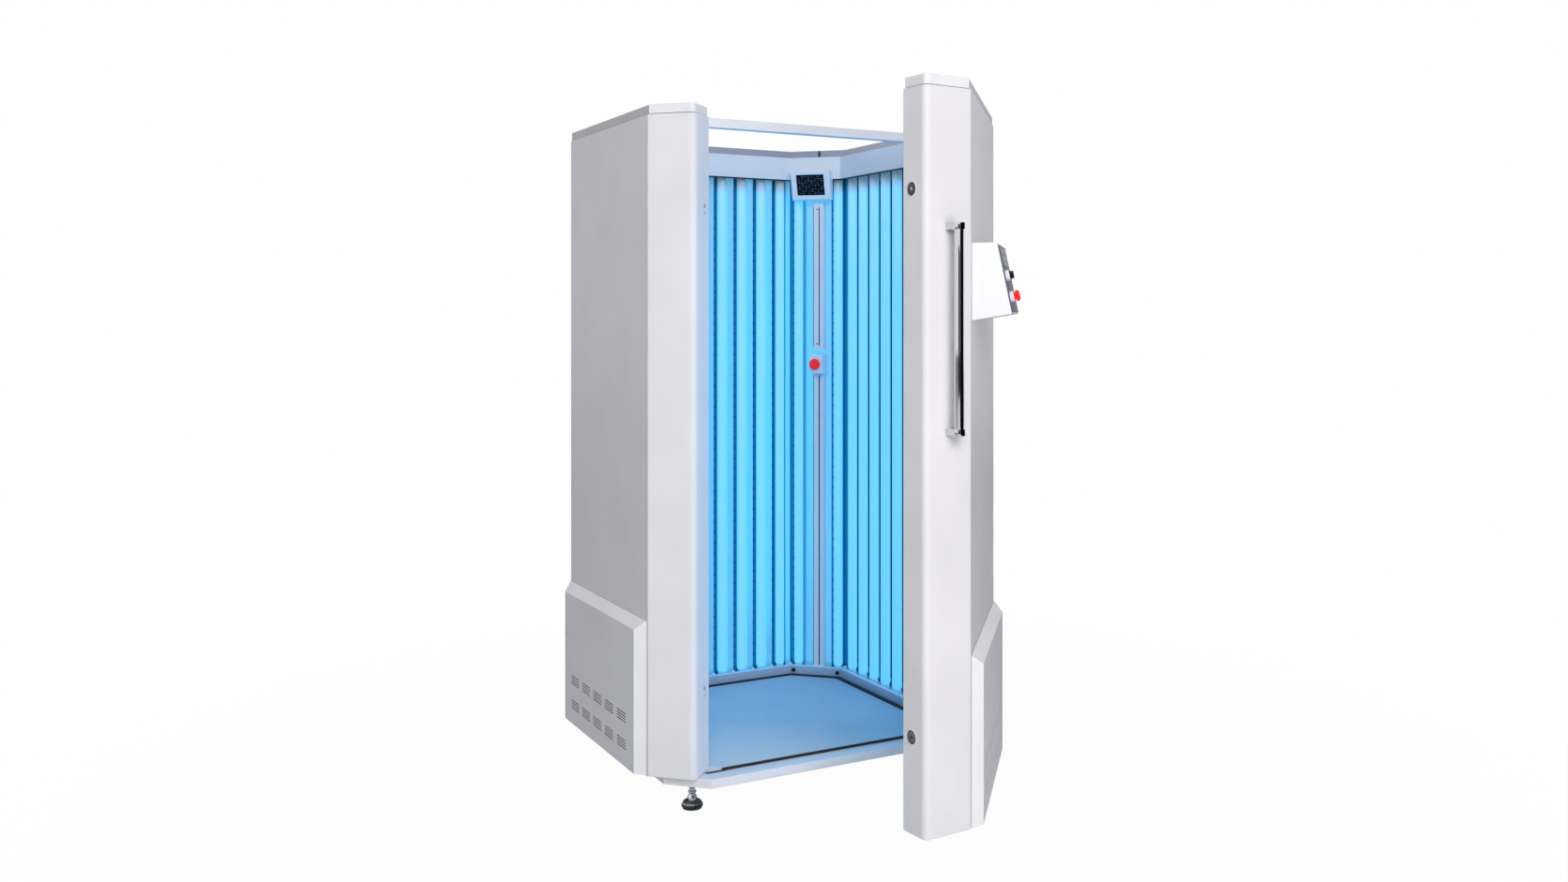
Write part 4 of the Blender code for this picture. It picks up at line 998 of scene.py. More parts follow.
@dataclass
class PullHandle:
    """Chrome pull handle: a polished tube held in a flat clamp at each end."""

    plan: Plan
    finishes: Finishes
    from_seam: float = 0.080
    standoff: float = 0.037
    low: float = 1.020
    high: float = 1.560
    radius: float = 0.0125
    tube_rim: float = 0.0015
    tube_past_clamp: float = 0.001
    clamp_width: float = 0.031
    clamp_height: float = 0.018
    clamp_nose: float = 0.46        # radius of its round front to its width
    clamp_edge: float = 0.0012
    sharp: float = 1.2              # radians from which an edge of a clamp is softened

    def build(self) -> None:
        """Build tube and clamps in place of the plain solid."""
        place = self.plan.place(Side.FRONT, True)
        axis = Matrix.Translation((self.from_seam, -self.standoff, 0))
        tube = bmesh.new()
        add_tube(tube, self.radius, self.low - self.tube_past_clamp,
                 self.high + self.tube_past_clamp, axis, sides=48, rim=self.tube_rim)
        finish_piece("handle_tube", tube, place, "door", self.finishes.chrome, SMOOTH_ROUND,
                     ["door_handle"])
        clamps = bmesh.new()
        reach = self.standoff + self.clamp_width / 2 - SEAT
        for middle in (self.low + self.clamp_height / 2, self.high - self.clamp_height / 2):
            clamp = bmesh.new()
            add_block(clamp, (self.clamp_width, reach, self.clamp_height),
                      (self.from_seam, -SEAT - reach / 2, middle))
            nose = [edge for edge in clamp.edges
                    if all(end.co.y < -reach / 2 for end in edge.verts)
                    and abs(edge.verts[0].co.z - edge.verts[1].co.z) > self.clamp_height / 2]
            bevel_edges(clamp, nose, self.clamp_width * self.clamp_nose, 8)
            join_mesh(clamps, clamp, Matrix.Identity(4))
        sharp_edges = [edge for edge in clamps.edges if edge.calc_face_angle(0.0) > self.sharp]
        bevel_edges(clamps, sharp_edges, self.clamp_edge, 2)
        finish_piece("handle_clamps", clamps, place, "door", self.finishes.chrome)


def grid(count: tuple[int, int], pitch: tuple[float, float]) -> list[tuple[float, float]]:
    """Middles of the fields of a grid round the origin, column by column."""
    return [((column - (count[0] - 1) / 2) * pitch[0], (row - (count[1] - 1) / 2) * pitch[1])
            for column in range(count[0]) for row in range(count[1])]


def sloping_frame(low: tuple[float, float], high: tuple[float, float], hand: int) -> Matrix:
    """Turn from a sloping plate's own frame to its wall's frame.

    Args:
        low: Inset and height of the plate's lower edge.
        high: Inset and height of its upper edge.
        hand: 1 if the plate looks into the cabin, -1 if it looks out.

    Returns:
        The turn; its Y runs up the plate and Z out of it.
    """
    up = (Vector((0, *high)) - Vector((0, *low))).normalized()
    normal = hand * Vector((0, up.z, -up.y))
    return Matrix((up.cross(normal), up, normal)).transposed().to_4x4()


@dataclass
class DoorControls:
    """Sloping control plate with its keypad, key switch and stop button."""

    plan: Plan
    finishes: Finishes
    box_start: float = 0.035
    box_width: float = 0.260
    low: tuple[float, float] = (-0.103, 1.329)     # inset and height of the plate's lower edge
    high: tuple[float, float] = (-0.065, 1.514)
    margin: float = 0.004
    thickness: float = 0.002
    plate_edge: float = 0.0006
    switch_from_start: float = 0.056
    key_up: float = 0.1014
    stop_up: float = 0.0449
    collar_radius: float = 0.0145
    collar_height: float = 0.012
    collar_rim: tuple[float, float] = (0.90, 0.002)     # share of the radius, and drop
    bore: float = 0.0104
    bore_floor: float = 0.002
    pad_margin: float = 0.020
    pad_height: float = 0.046
    pad_sheet: float = 0.0008
    pad_edge: float = 0.0003
    pad_from_top: float = 0.034
    key_grid: tuple[int, int] = (6, 2)
    key_pitch: tuple[float, float] = (0.033, 0.020)
    key_size: tuple[float, float, float] = (0.022, 0.013, 0.0012)
    key_lift: float = 0.0011
    key_edge: float = 0.0004
    knob_radius: float = 0.0115
    knob_height: float = 0.005
    knob_rim: tuple[float, float] = (0.0017, 0.0018)
    grip_size: tuple[float, float, float] = (0.007, 0.020, 0.0062)
    grip_lift: float = 0.0076
    grip_edge: float = 0.0018
    stop_sink: float = 0.0015       # depth of the button's neck in its collar
    stop_sizes: tuple[float, float, float, float] = (0.0145, 0.011, 0.010, 0.0061)

    def plate_place(self) -> Matrix:
        """Matrix from the plate's own frame, with its origin under the switches, to the row frame."""
        start = self.box_start - self.plan.half(Side.DOOR, 0.0)
        slope = sloping_frame(self.low, self.high, -1)
        slope.translation = (start + self.switch_from_start, *self.low)
        return self.plan.place(Side.DOOR, True) @ slope

    def build(self) -> None:
        """Build plate, keypad, collars, knob and button."""
        place = self.plate_place()
        length = (Vector(self.high) - Vector(self.low)).length
        middle = self.box_width / 2 - self.switch_from_start
        plate = bmesh.new()
        add_block(plate, (self.box_width - 2 * self.margin, length - 2 * self.margin, self.thickness),
                  (middle, length / 2, SEAT + self.thickness / 2), self.plate_edge)
        finish_piece("control_plate", plate, place, "door", self.finishes.grey,
                     stands_for=["control_panel"])
        self.build_keypad(place, middle, length)
        collars = bmesh.new()
        base, top, wide = SEAT + self.thickness, SEAT + self.collar_height, self.collar_radius
        floor = base + self.bore_floor
        for along in (self.key_up, self.stop_up):
            add_turned(collars, [(0, floor), (self.bore, floor), (self.bore, top),
                                 (wide * self.collar_rim[0], top), (wide, top - self.collar_rim[1]),
                                 (wide, base), (0, base)], Matrix.Translation((0, along, 0)))
        finish_piece("switch_collars", collars, place, "door", self.finishes.plastic,
                     SMOOTH_TURNED)
        self.build_key(place)
        self.build_stop(place)

    def build_keypad(self, place: Matrix, middle: float, length: float) -> None:
        """Dark membrane strip along the top of the plate with raised key fields.

        Args:
            place: Matrix from the plate's own frame to the row frame.
            middle: Middle of the plate along its width.
            length: Length of the plate up its slope.
        """
        top, up = SEAT + self.thickness, length - self.pad_from_top
        pad = bmesh.new()
        add_block(pad, (self.box_width - 2 * self.pad_margin, self.pad_height, self.pad_sheet),
                  (middle, up, top + self.pad_sheet / 2), self.pad_edge)
        finish_piece("keypad_membrane", pad, place, "door", self.finishes.keypad)
        keys = bmesh.new()
        for across, rise in grid(self.key_grid, self.key_pitch):
            add_block(keys, self.key_size, (middle + across, up + rise, top + self.key_lift), self.key_edge)
        finish_piece("keypad_keys", keys, place, "door", self.finishes.tick)

    def build_key(self, place: Matrix) -> None:
        """Key switch knob with its grip bar."""
        axis = place @ Matrix.Translation((0, self.key_up, self.collar_height + 2 * SEAT))
        wide, top = self.knob_radius, self.knob_height
        knob, grip = bmesh.new(), bmesh.new()
        add_turned(knob, [(0, top), (wide - self.knob_rim[0], top), (wide, top - self.knob_rim[1]),
                          (wide, 0), (0, 0)])
        add_block(grip, self.grip_size, (0, 0, self.grip_lift), self.grip_edge, 3)
        for part, mesh, stands_for in (("disc", knob, ["key_knob"]), ("grip", grip, [])):
            finish_piece(f"key_switch_{part}", mesh, axis, "key_switch", self.finishes.black,
                         SMOOTH_TURNED, stands_for)

    def build_stop(self, place: Matrix) -> None:
        """Red mushroom button on the outside of the door."""
        height = self.collar_height + 2 * SEAT - self.stop_sink
        button = bmesh.new()
        add_turned(button, mushroom_profile(*self.stop_sizes), steps=48)
        finish_piece("outer_stop_head", button, place @ Matrix.Translation((0, self.stop_up, height)),
                     "outer_stop", self.finishes.red, SMOOTH_TURNED,
                     ["outer_stop_button"])


def mushroom_profile(radius: float, head: float, neck_radius: float,
                     neck: float) -> list[tuple[float, float]]:
    """Half section of a domed push button on its neck.

    Args:
        radius: Radius of the head.
        head: Height of the head.
        neck_radius: Radius of the neck.
        neck: Height of the neck.

    Returns:
        Radius and height of each point, from the top down.
    """
    shares = ((0, 1), (0.45, 0.985), (0.68, 0.96), (0.82, 0.91), (0.92, 0.82), (0.98, 0.69),
              (1, 0.55), (1, 0.14), (0.97, 0.04), (0.92, 0))
    return [(radius * out, neck + head * up) for out, up in shares] + [
        (neck_radius, neck), (neck_radius, 0), (0, 0)]


@dataclass
class RearFittings:
    """Display, cable ducts and stop button on the rear corner."""

    plan: Plan
    finishes: Finishes
    duct_centre: float = -0.008
    duct_front: float = 0.118
    upper_duct: tuple[float, float] = (1.203, 1.742)
    lower_duct: tuple[float, float] = (0.045, 1.108)
    upper_margin: float = 0.015
    # first the duct's slit, a dark strip of painted shade, then a painted shadow line beside the duct
    slit_and_shade_shifts: tuple[float, float] = (-0.004, 0.0182)
    slit_and_shade_widths: tuple[tuple[float, float], ...] = ((0.0036, 0.0016), (0.0042, 0.0016))
    dark_sheet: float = 0.0008
    sheet_middle: float = 0.0002
    screw_margin: float = 0.022
    screw_shift: float = 0.004
    screw_radius: float = 0.0035
    stop_middle: float = 1.151
    stop_front: float = 0.1545
    stop_sizes: tuple[float, float, float, float] = (0.020, 0.011, 0.012, 0.0061)
    display_centre: float = 0.008
    display_low: tuple[float, float] = (0.1483, 1.752)
    display_high: tuple[float, float] = (0.1803, 1.858)
    screen: tuple[float, float] = (0.104, 0.076)
    field_grid: tuple[int, int] = (8, 9)
    field_pitch: tuple[float, float] = (0.115, 0.100)       # shares of the screen's sides
    field_height: float = 0.028                             # share of its height
    field_sheet: float = 0.0003
    field_sink: float = 0.0009
    cap_inner: float = 0.1042
    notch: tuple[float, float] = (0.0085, 0.021)
    notch_drop: float = 0.0125

    def build(self) -> None:
        """Build the details on the ducts, the button, the screen's picture and the cable entry."""
        place = self.plan.place(Side.REAR, False)
        low, high = self.upper_duct
        # Dark strips of painted shade on the ducts.
        slots = bmesh.new()
        spans = ((low + self.upper_margin, high - self.upper_margin), self.lower_duct)
        for (foot, top), widths in zip(spans, self.slit_and_shade_widths):
            for shift, width in zip(self.slit_and_shade_shifts, widths):
                add_block(slots, (width, self.dark_sheet, top - foot),
                          (self.duct_centre + shift, self.duct_front + self.sheet_middle, (foot + top) / 2))
        finish_piece("duct_slit_and_shade_line", slots, place, "cabin", self.finishes.dark_rubber_and_shade, None)
        screws = bmesh.new()
        for height in (low + self.screw_margin, high - self.screw_margin):
            spot = (self.duct_centre + self.screw_shift, self.duct_front, height)
            add_screw_head(screws, Matrix.Translation(spot) @ INWARD, self.screw_radius)
        finish_piece("duct_screws", screws, place, "cabin", self.finishes.zinc)
        self.build_button(place)
        self.build_screen(place)
        # Cable entry in the cap's inner face, a dark sheet: painted shade in its opening.
        notch = bmesh.new()
        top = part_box("top_cap")[1].z - self.plan.foot_level
        add_block(notch, (self.notch[0], self.dark_sheet, self.notch[1]),
                  (self.duct_centre, self.cap_inner, top - self.notch_drop))
        finish_piece("cable_entry", notch, place, "cabin", self.finishes.dark_rubber_and_shade, None)

    def build_button(self, place: Matrix) -> None:
        """Red mushroom button inside the cabin."""
        spot = Matrix.Translation((self.duct_centre, self.stop_front, self.stop_middle))
        button = bmesh.new()
        add_turned(button, mushroom_profile(*self.stop_sizes), steps=48)
        finish_piece("inner_stop_head", button, place @ spot @ INWARD, "inner_stop", self.finishes.red,
                     SMOOTH_TURNED, ["inner_stop_button"])

    def build_screen(self, place: Matrix) -> None:
        """Faint fields of the switched-on screen."""
        slope = sloping_frame(self.display_low, self.display_high, 1)
        middle = (Vector(self.display_low) + Vector(self.display_high)) / 2
        slope.translation = (self.display_centre, *middle)
        wide, tall = self.screen
        fields = bmesh.new()
        spots = grid(self.field_grid, (wide * self.field_pitch[0], tall * self.field_pitch[1]))
        for i, (along, height) in enumerate(spots):
            column, row = divmod(i, self.field_grid[1])
            width = wide * (0.025 + 0.020 * ((7 * column + 3 * row) % 4))
            if (3 * column + 5 * row) % 7 < 5:      # an uneven pattern that spells nothing
                add_block(fields, (width, tall * self.field_height, self.field_sheet),
                          (along, height, -self.field_sink))
        finish_piece("screen_fields", fields, place @ slope, "cabin", self.finishes.tick,
                     None)


@dataclass
class SeamCatches:
    """Round catches in the door's seam face and the strikes on the cabin's post."""

    plan: Plan
    finishes: Finishes
    heights: tuple[float, float] = (0.249, 1.648)
    from_front: float = 0.058
    strike_from_front: float = 0.072
    half_seam: float = 0.002
    radius: float = 0.020
    strike_lower: float = 0.002     # drop of a strike below its catch
    strike_radius: float = 0.0062
    pip_drop: float = 0.021
    pip_radius: float = 0.0044
    pin_radius: float = 0.0022
    keeper_size: tuple[float, float, float] = (0.010, 0.0028, 0.0010)
    keeper_turn: float = 35.0
    keeper_lift: float = 0.0012
    keeper_edge: float = 0.0004
    low_face: float = 0.0009        # heights of the faces above the seam, from the lowest
    mid_face: float = 0.0012
    ring_face: float = 0.0013
    bolt_face: float = 0.0014
    pin_face: float = 0.0016
    rim: tuple[float, float] = (0.0006, 0.0003)

    def disc(self, mesh: bmesh.types.BMesh, spot: Matrix, inner: float, outer: float,
             height: float) -> None:
        """Add a flat ring, or a disc where the inner radius is 0, standing on its frame's plane."""
        soft = min(self.rim[0], (outer - inner) / 3)
        add_turned(mesh, [(inner, height), (outer - soft, height), (outer, height - self.rim[1]),
                          (outer, SEAT), (inner, SEAT)], spot)

    def build(self) -> None:
        """Build catch rings, discs and bolts on the door and the strikes on the post."""
        door, post = (self.plan.place(Side.FRONT, on_door) for on_door in (True, False))
        wide = self.radius
        rings, lower, upper, bolts, keeper, collars, pips, pins = (bmesh.new() for _ in range(8))
        spots = [Matrix.Translation((self.half_seam, self.from_front, height)) @ rotation(-90, "Y")
                 for height in self.heights]
        for spot, disc in zip(spots, (lower, upper)):
            self.disc(rings, spot, wide * 0.90, wide, self.ring_face)
            self.disc(disc, spot, 0.0, wide * 0.895, self.low_face)
        self.disc(bolts, spots[0], wide * 0.74, wide * 0.88, self.mid_face)
        self.disc(bolts, spots[0], 0.0, wide * 0.22, self.bolt_face)
        add_block(keeper, self.keeper_size, (0, 0, self.keeper_lift), self.keeper_edge)
        bmesh.ops.transform(keeper, matrix=spots[1] @ rotation(self.keeper_turn, "Z"), verts=keeper.verts)
        for height in self.heights:
            for drop, size in ((0.0, self.strike_radius), (self.pip_drop, self.pip_radius)):
                spot = Matrix.Translation((-self.half_seam, self.strike_from_front,
                                           height - self.strike_lower - drop)) @ rotation(90, "Y")
                self.disc(collars, spot, size * 0.74, size, self.low_face)
                self.disc(pips, spot, 0.0, size * 0.73, self.mid_face)
                if not drop:
                    self.disc(pins, spot, 0.0, self.pin_radius, self.pin_face)
        pieces = (("catch_rings", rings, door, "door", self.finishes.bright),
                  ("lower_catch_disc", lower, door, "door", self.finishes.bronze),
                  ("upper_catch_disc", upper, door, "door", self.finishes.gunmetal),
                  ("lower_catch_bolt", bolts, door, "door", self.finishes.black),
                  ("upper_catch_keeper", keeper, door, "door", self.finishes.plastic),
                  ("strike_collars", collars, post, "cabin", self.finishes.gunmetal),
                  ("strike_pips", pips, post, "cabin", self.finishes.bright),
                  ("strike_pins", pins, post, "cabin", self.finishes.black))
        for name, mesh, place, body, material in pieces:
            finish_piece(name, mesh, place, body, material, SMOOTH,
                         ["upper_catch", "lower_catch"] if name == "catch_rings" else ())


@dataclass
class FloorTrim:
    """Dark rubber edge round the floor panel, the dark channel of painted shade behind it, and the screws
    of the rail corners.
    """

    plan: Plan
    finishes: Finishes
    margin: float = 0.150
    sill: float = 0.155
    at_posts: float = 0.110
    width: float = 0.0040
    height: float = 0.0078
    channel_height: float = 0.0090
    tongue_height: float = 0.0022
    tongue_rise: float = 0.0070
    ramp_foot: float = 0.0955
    rail_front: float = 0.128
    screw_radius: float = 0.0078
    screw_from_end: float = 0.010
    screw_up: float = 0.022
    half_seam: float = 0.002

    def outline(self, grow: float) -> list[Vector]:
        """Corner points of the floor panel, grown outwards."""
        lines = []
        for side in Side:
            turn = math.radians(side.value)
            inset = {Side.DOOR: self.sill, Side.FRONT: self.at_posts,
                     Side.RIGHT: self.at_posts}.get(side, self.margin) - grow
            lines.append((Vector((math.sin(turn), -math.cos(turn))), self.plan.reach(side) - inset))
        points = []
        for (first, far_a), (second, far_b) in zip(lines[-1:] + lines[:-1], lines):
            scale = first.x * second.y - first.y * second.x
            points.append(Vector(((far_a * second.y - far_b * first.y) / scale,
                                  (first.x * far_b - second.x * far_a) / scale, 0)))
        return points

    def build_edge_strip(self) -> None:
        """Rubber edge round the floor panel, left out beside the posts, where the door stands."""
        mesh = bmesh.new()
        inner, outer = (self.outline(far) for far in (SEAT, SEAT + self.width))
        for i, side in enumerate(Side):
            if side not in (Side.FRONT, Side.RIGHT):
                j = (i + 1) % len(inner)
                mesh.faces.new([mesh.verts.new(spot) for spot in (inner[i], inner[j], outer[j], outer[i])])
        bmesh.ops.remove_doubles(mesh, verts=mesh.verts, dist=SAME_POINT)
        raised = added_verts(bmesh.ops.extrude_face_region(mesh, geom=list(mesh.faces))["geom"])
        bmesh.ops.translate(mesh, verts=raised, vec=(0, 0, self.height))
        place = Matrix.Translation((self.plan.centre.x, self.plan.centre.y, self.plan.foot_level))
        finish_piece("floor_edge_strip", mesh, place, "cabin", self.finishes.dark_rubber_and_shade, None)

    def build_tongues(self) -> None:
        """Carry the floor and its rubber edge on along the sill to the posts, low under the door."""
        line = self.plan.corner_half - math.sqrt(2) * self.sill
        near, far = (line + math.sqrt(2) * gap for gap in (SEAT, SEAT + 2 * self.width))
        start = 2 * SEAT - self.half_seam
        panels, strips = bmesh.new(), bmesh.new()
        top, last = self.tongue_height, self.at_posts - SEAT
        shapes = ((panels, start - line + SEAT, self.tongue_rise, lambda y: start, lambda y: y + line),
                  (strips, start - near, top, lambda y: y + near, lambda y: y + far))
        for side, hand in ((Side.FRONT, 1), (Side.RIGHT, -1)):
            for mesh, first, rise, low, high in shapes:
                piece = bmesh.new()
                add_bar(piece, [(first, SEAT), (last, SEAT), (last, rise), (self.ramp_foot, top),
                                (first, top)],
                        lambda y: hand * low(y), lambda y: hand * high(y))
                join_mesh(mesh, piece, self.plan.place(side, False))
        for name, mesh, material, slot in (
                ("floor_tongues", panels, self.finishes.floor, "floor_paint"),
                ("floor_tongue_strips", strips, self.finishes.dark_rubber_and_shade, "black_plastic")):
            finish_piece(name, mesh, Matrix.Identity(4), "cabin", material, None)

    def build(self) -> None:
        """Build the tongues, the rubber edge, the channel floor behind it, dark as painted shade, and the
        screws.
        """
        self.build_tongues()
        self.build_edge_strip()
        channel = bmesh.new()
        near, far = self.rail_front + SEAT, self.margin - self.width - 2 * SEAT
        for side in (Side.FRONT_LEFT, Side.LEFT, Side.REAR_LEFT, Side.REAR, Side.REAR_RIGHT):
            strip = bmesh.new()
            add_bar(strip, oblong(near, far, 0.0, self.channel_height), *self.plan.ends(side))
            join_mesh(channel, strip, self.plan.place(side, False))
        finish_piece("floor_gap_shade", channel, Matrix.Identity(4), "cabin", self.finishes.channel,
                     None)
        screws = bmesh.new()
        for side in (Side.LEFT, Side.REAR):
            frame = self.plan.place(side, False)
            for hand in (-1, 1):
                along = hand * (self.plan.half(side, self.rail_front) - self.screw_from_end)
                spot = Matrix.Translation((along, self.rail_front, self.screw_up))
                add_screw_head(screws, frame @ spot @ INWARD, self.screw_radius)
        finish_piece("rail_screws", screws, Matrix.Identity(4), "cabin", self.finishes.black)


@dataclass
class VentShadeSheet:
    """Dark sheet behind the slots of a vent cover: painted shade inside the cover."""

    name: str
    side: Side
    body: str
    plan: Plan
    finishes: Finishes
    size: tuple[float, float, float] = (0.540, 0.003, 0.140)
    centre: float = 0.107
    depth: float = 0.024
    edge: float = 0.001

    def build(self) -> None:
        """Build the dark sheet a few millimetres behind the slots."""
        mesh = bmesh.new()
        add_block(mesh, self.size, (0, -self.depth, self.centre), self.edge)
        finish_piece(f"{self.name}_slot_shade_sheet", mesh, self.plan.place(self.side, self.body == "door"),
                     self.body, self.finishes.black)


@dataclass
class Camera:
    """Camera of the photograph: level, with its principal point off the middle of the frame."""

    image: tuple[int, int] = (1672, 941)
    focal_px: float = 1455.742
    principal: tuple[float, float] = (908.513, 337.975)
    yaw: float = 15.4204
    offset: tuple[float, float] = (1.4626, -4.2773)    # from the cabin's centre
    height: float = 1.3243                             # above the wall foot
    sensor: float = 36.0

    def build(self, plan: Plan) -> None:
        """Create the camera and make it the scene's own.

        Args:
            plan: Plan of the cabin.
        """
        wide, tall = self.image
        data = bpy.data.cameras.new("photo_camera")
        data.sensor_width = self.sensor
        data.sensor_fit = "HORIZONTAL"
        data.lens = self.sensor * self.focal_px / wide
        data.shift_x = (wide / 2 - self.principal[0]) / wide
        data.shift_y = (self.principal[1] - tall / 2) / wide
        data.clip_end = 100.0
        made = bpy.data.objects.new("photo_camera", data)
        made.location = (plan.centre.x + self.offset[0], plan.centre.y + self.offset[1],
                         plan.foot_level + self.height)
        made.rotation_euler = (math.radians(90), 0, math.radians(self.yaw))
        bpy.context.scene.collection.objects.link(made)
        bpy.context.scene.camera = made


def add_stage_sheet(name: str, place: Matrix, half: float,
                    material: bpy.types.Material) -> bpy.types.Object:
    """Add a flat square of the studio, which is no part of the object.

    Args:
        name: Name of the sheet.
        place: Matrix from its own frame, in which it lies across Z, to the row frame.
        half: Half the length of its sides in its own frame.
        material: Its finish.

    Returns:
        The sheet.
    """
    mesh = bmesh.new()
    bmesh.ops.create_grid(mesh, x_segments=1, y_segments=1, size=half, matrix=place)
    data = bpy.data.meshes.new(name)
    mesh.to_mesh(data)
    mesh.free()
    data.materials.append(material)
    sheet = bpy.data.objects.new(name, data)
    bpy.context.scene.collection.objects.link(sheet)
    return sheet


@dataclass(frozen=True)
class SoftLight:
    """Square soft light that neither the camera nor the chrome sees."""

    name: str
    spot: tuple[float, float, float]
    aim: tuple[float, float, float]
    size: float
    watts: float

    def build(self) -> None:
        """Add the light, turned to its aim."""
        data = bpy.data.lights.new(self.name, "AREA")
        data.shape = "SQUARE"
        data.size = self.size
        data.energy = self.watts
        made = bpy.data.objects.new(self.name, data)
        made.location = self.spot
        made.visible_camera = made.visible_glossy = False
        made.rotation_euler = (Vector(self.aim) - Vector(self.spot)).to_track_quat("-Z", "Y").to_euler()
        bpy.context.scene.collection.objects.link(made)


@dataclass(frozen=True)
class DarkCard:
    """Upright dark card out of the camera's sight; it gives chrome its dark band."""

    name: str
    centre: tuple[float, float, float]
    turn: float                 # degrees about Z from facing Y
    width: float
    shades: bool                # True if it also keeps the surroundings' light off the object
    height: float = 3.0
    colour: str = "#0c0e16"
    ior: float = 1.1
    roughness: float = 0.9

    def build(self) -> None:
        """Add the card."""
        felt, tree, shader = start_material(f"black_{self.name}_felt")
        wire(tree, shader, {"Base Color": linear(self.colour), "IOR": self.ior,
                            "Roughness": self.roughness})
        place = (Matrix.Translation(self.centre) @ rotation(self.turn, "Z") @ rotation(90, "X")
                 @ Matrix.Diagonal((self.width, self.height, 1.0, 1.0)))
        card = add_stage_sheet(self.name, place, 0.5, felt)
        card.visible_camera = card.visible_shadow = False
        card.visible_diffuse = self.shades


@dataclass
class Studio:
    """Pale floor, even surroundings, soft lights and dark cards."""

    floor_half: float = 14.0
    floor_drop: float = 0.0005
    floor_colour: str = "#e2e2e2"
    floor_roughness: float = 0.9
    shadow_reach: tuple[float, float] = (0.8, 2.6)
    white_share: float = 0.97       # share of plain white in the floor close to the object
    world_strength: float = 0.30
    lights: tuple[SoftLight, ...] = (
        SoftLight("key_softbox", (2.5, -5.0, 3.7), (0.1, 0.0, 1.0), 3.2, 222.0),
        SoftLight("fill_softbox", (-4.2, -3.2, 2.6), (0.0, 0.2, 1.0), 2.6, 12.0),
        SoftLight("low_kicker", (3.0, -2.6, 0.35), (0.7, -0.5, 0.3), 1.6, 38.0),
        SoftLight("back_softbox", (-1.4, 5.0, 1.3), (-0.1, 0.2, 1.0), 2.4, 55.0))
    cards: tuple[DarkCard, ...] = (DarkCard("side_card", (3.0, -1.2, 1.5), 90.0, 5.6, True),
                                   DarkCard("camera_card", (2.0, -6.0, 1.5), 0.0, 3.4, False))

    def build(self) -> None:
        """Build surroundings, floor, lights and cards."""
        self.build_world()
        self.build_floor()
        for item in self.lights + self.cards:
            item.build()

    def build_world(self) -> None:
        """White for the camera, reflections and glass, a plain level for everything else."""
        world = bpy.data.worlds.new("studio_surroundings")
        world.use_nodes = True
        tree = world.node_tree
        path = add_node(tree, "ShaderNodeLightPath").outputs
        seen = combine(tree, "MAXIMUM", path["Is Camera Ray"], path["Is Glossy Ray"])
        seen = combine(tree, "MAXIMUM", seen, path["Is Transmission Ray"])
        wire(tree, tree.nodes["Background"], {
            "Color": (1.0, 1.0, 1.0, 1.0), "Strength": spread(tree, seen, self.world_strength, 1.0)})
        bpy.context.scene.world = world

    def build_floor(self) -> None:
        """Level floor that fades to white and keeps the object's shadow."""
        made, tree, shader = start_material("matt_studio_floor")
        wire(tree, shader, {"Base Color": linear(self.floor_colour), "Roughness": self.floor_roughness})
        path = add_node(tree, "ShaderNodeLightPath")
        white = add_node(tree, "ShaderNodeEmission", inputs={"Color": (1, 1, 1, 1), "Strength": 1.0})
        away = add_node(tree, "ShaderNodeVectorMath", {"operation": "LENGTH"}, {0: place_in_object(tree)})
        whiter = fade(tree, away.outputs["Value"], *self.shadow_reach, self.white_share, 1.0)
        share = combine(tree, "MULTIPLY", path.outputs["Is Camera Ray"], whiter)
        blend = add_node(tree, "ShaderNodeMixShader", inputs={
            0: share, 1: shader.outputs[0], 2: white.outputs[0]})
        wire(tree, tree.nodes["Material Output"], {"Surface": blend.outputs[0]})
        floor = add_stage_sheet("studio_floor", Matrix.Identity(4), self.floor_half, made)
        floor.location.z = -self.floor_drop


def dress_solids(frame: dict[str, Any], finishes: Finishes) -> None:
    """Give every solid that stays in view its finish and softened edges.

    Args:
        finishes: The cabin's finishes.
    """
    # Caps take a brighter copy of the white coat (painted light), valances a bluish one (painted lamp
    # light).
    special = {"top_cap": finishes.cap, "door_cap": finishes.cap, "valance": finishes.inner,
               "door_valance": finishes.inner, "control_box": finishes.bright}
    # Panels and vent covers of the slanted walls take the darker copy of the white coat: painted shade.
    special |= {f"{wall}_{part}": finishes.panel for part in ("panel", "vent_cover")
                for wall in ("front_left", "rear_left", "rear_right", "door")}
    slots = {item["node"]: item["material_slot"] for item in frame["record"]["subparts"]}
    for name, solid in frame["nodes"].items():
        material = special.get(name) or finishes.for_slot(slots[name])
        solid.data.materials.clear()
        solid.data.materials.append(material)
        join = solid.modifiers.new("join_faces", "WELD")
        join.merge_threshold = WELD_REACH
        soften = solid.modifiers.new("soft_edges", "BEVEL")
        soften.width = SOFT_EDGE
        soften.segments = 2
        soften.limit_method = "ANGLE"
        soften.angle_limit = math.radians(SOFT_ANGLE)
        soften.harden_normals = True


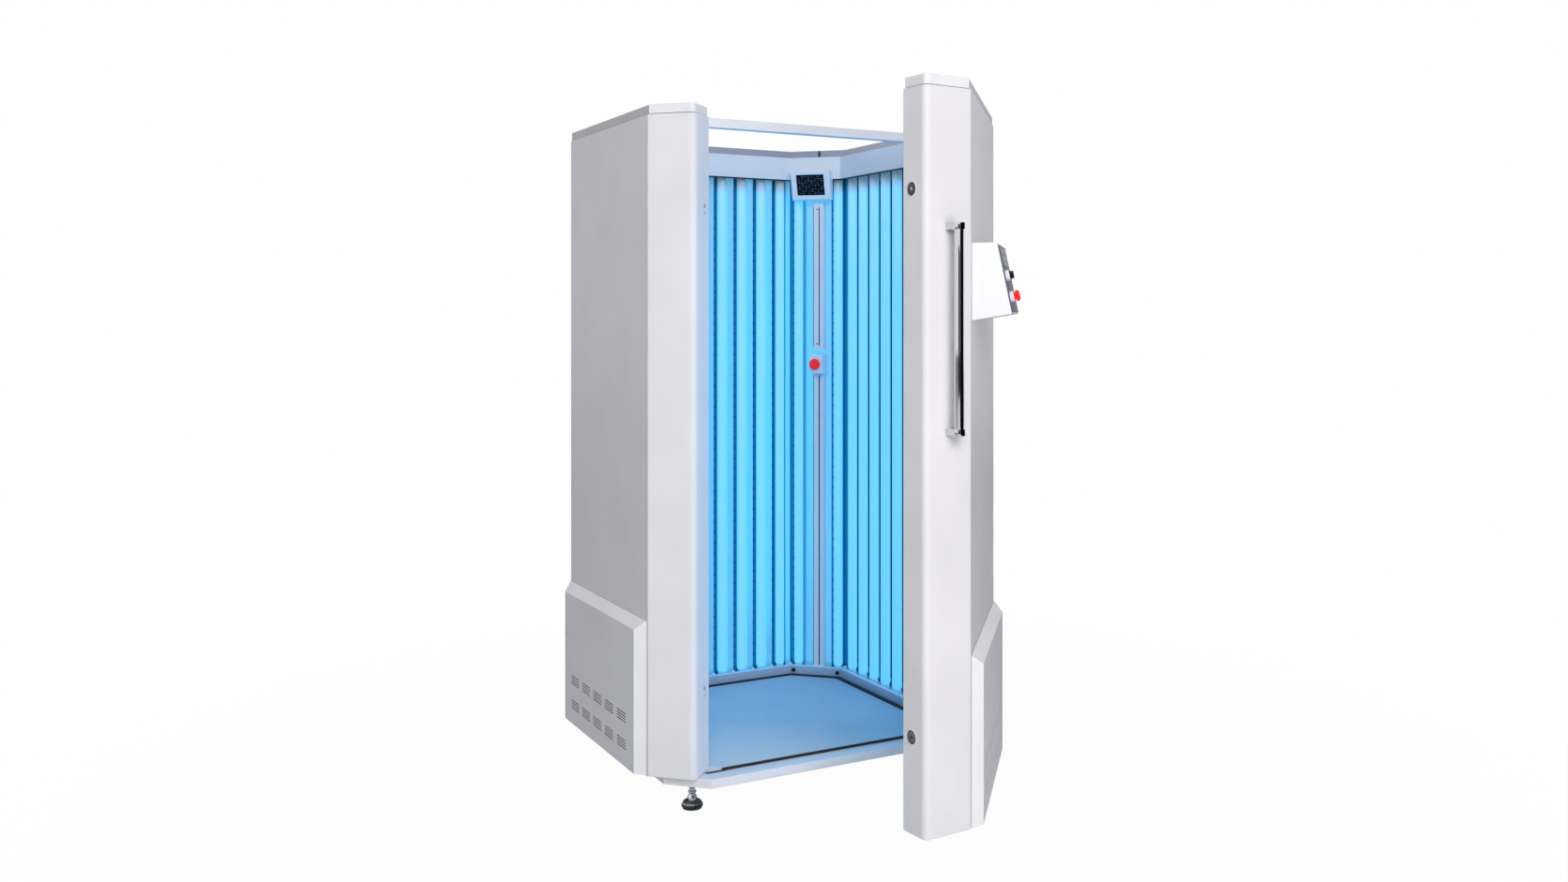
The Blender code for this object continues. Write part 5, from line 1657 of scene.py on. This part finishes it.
def shade_inward(solid: bpy.types.Object, centre: Vector, material: bpy.types.Material) -> None:
    """Give the faces of a solid that look at the cabin's centre a darker second finish: painted shade.

    Args:
        solid: The solid.
        centre: The cabin's centre.
        material: The second finish, a painted shade.
    """
    solid.data.materials.append(material)
    turn = solid.matrix_world.to_3x3()
    for face in solid.data.polygons:
        across = centre - solid.matrix_world @ face.center
        across.z = 0.0
        if (turn @ face.normal).dot(across.normalized()) > LOOKS_IN:
            face.material_index = 1


def dress_faces(solid: bpy.types.Object, outward: Vector, cosines: tuple[float, float],
                material: bpy.types.Material) -> None:
    """Give the faces of a solid that look one way a further finish: a painted highlight on the vent covers'
    rims, a painted shade on the caps.

    Args:
        solid: The solid.
        outward: Direction that its wall looks in.
        cosines: Least and greatest cosine between a face and that direction.
        material: The further finish.
    """
    solid.data.materials.append(material)
    last = len(solid.data.materials) - 1
    turn = solid.matrix_world.to_3x3()
    for face in solid.data.polygons:
        if cosines[0] < (turn @ face.normal).dot(outward) < cosines[1]:
            face.material_index = last


def main() -> None:
    """Dress the cabin, then set up light and camera."""
    logging.basicConfig(level=logging.INFO)
    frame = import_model()
    plan = Plan.read(frame)
    finishes = Finishes(*(plan.foot_level + height for height in LIT_HEIGHTS))
    dress_solids(frame, finishes)
    shade_inward(frame["nodes"]["top_cap"], plan.centre, finishes.shaded)
    banks = (("front_left", Side.FRONT_LEFT, "cabin"), ("left_corner", Side.LEFT, "cabin"),
             ("rear_left", Side.REAR_LEFT, "cabin"), ("rear_corner", Side.REAR, "cabin"),
             ("rear_right", Side.REAR_RIGHT, "cabin"), ("door", Side.DOOR, "door"))
    for name, side, body in banks:
        LampBank(name, side, body, plan, finishes).build()
        if not side.is_corner:
            VentShadeSheet(name, side, body, plan, finishes).build()
            outward = -plan.place(side, body == "door").to_3x3().col[1]
            # The vent covers' sloping rims get the brighter finish: painted highlight.
            dress_faces(frame["nodes"][f"{name}_vent_cover"], outward, CHAMFER, finishes.bright)
            cap = frame["nodes"]["door_cap" if body == "door" else "top_cap"]
            # The caps' outer faces on the slanted walls get a painted shade.
            dress_faces(cap, outward, FLAT, finishes.edge)
    for side_name in ("front", "left", "rear", "right"):
        LevellingFoot(side_name, finishes).build()
    for assembly in (PullHandle, DoorControls, RearFittings, SeamCatches, FloorTrim):
        assembly(plan, finishes).build()
    Studio().build()
    Camera().build(plan)
    bpy.context.scene.view_settings.view_transform = "Standard"


if __name__ == "__main__":
    main()
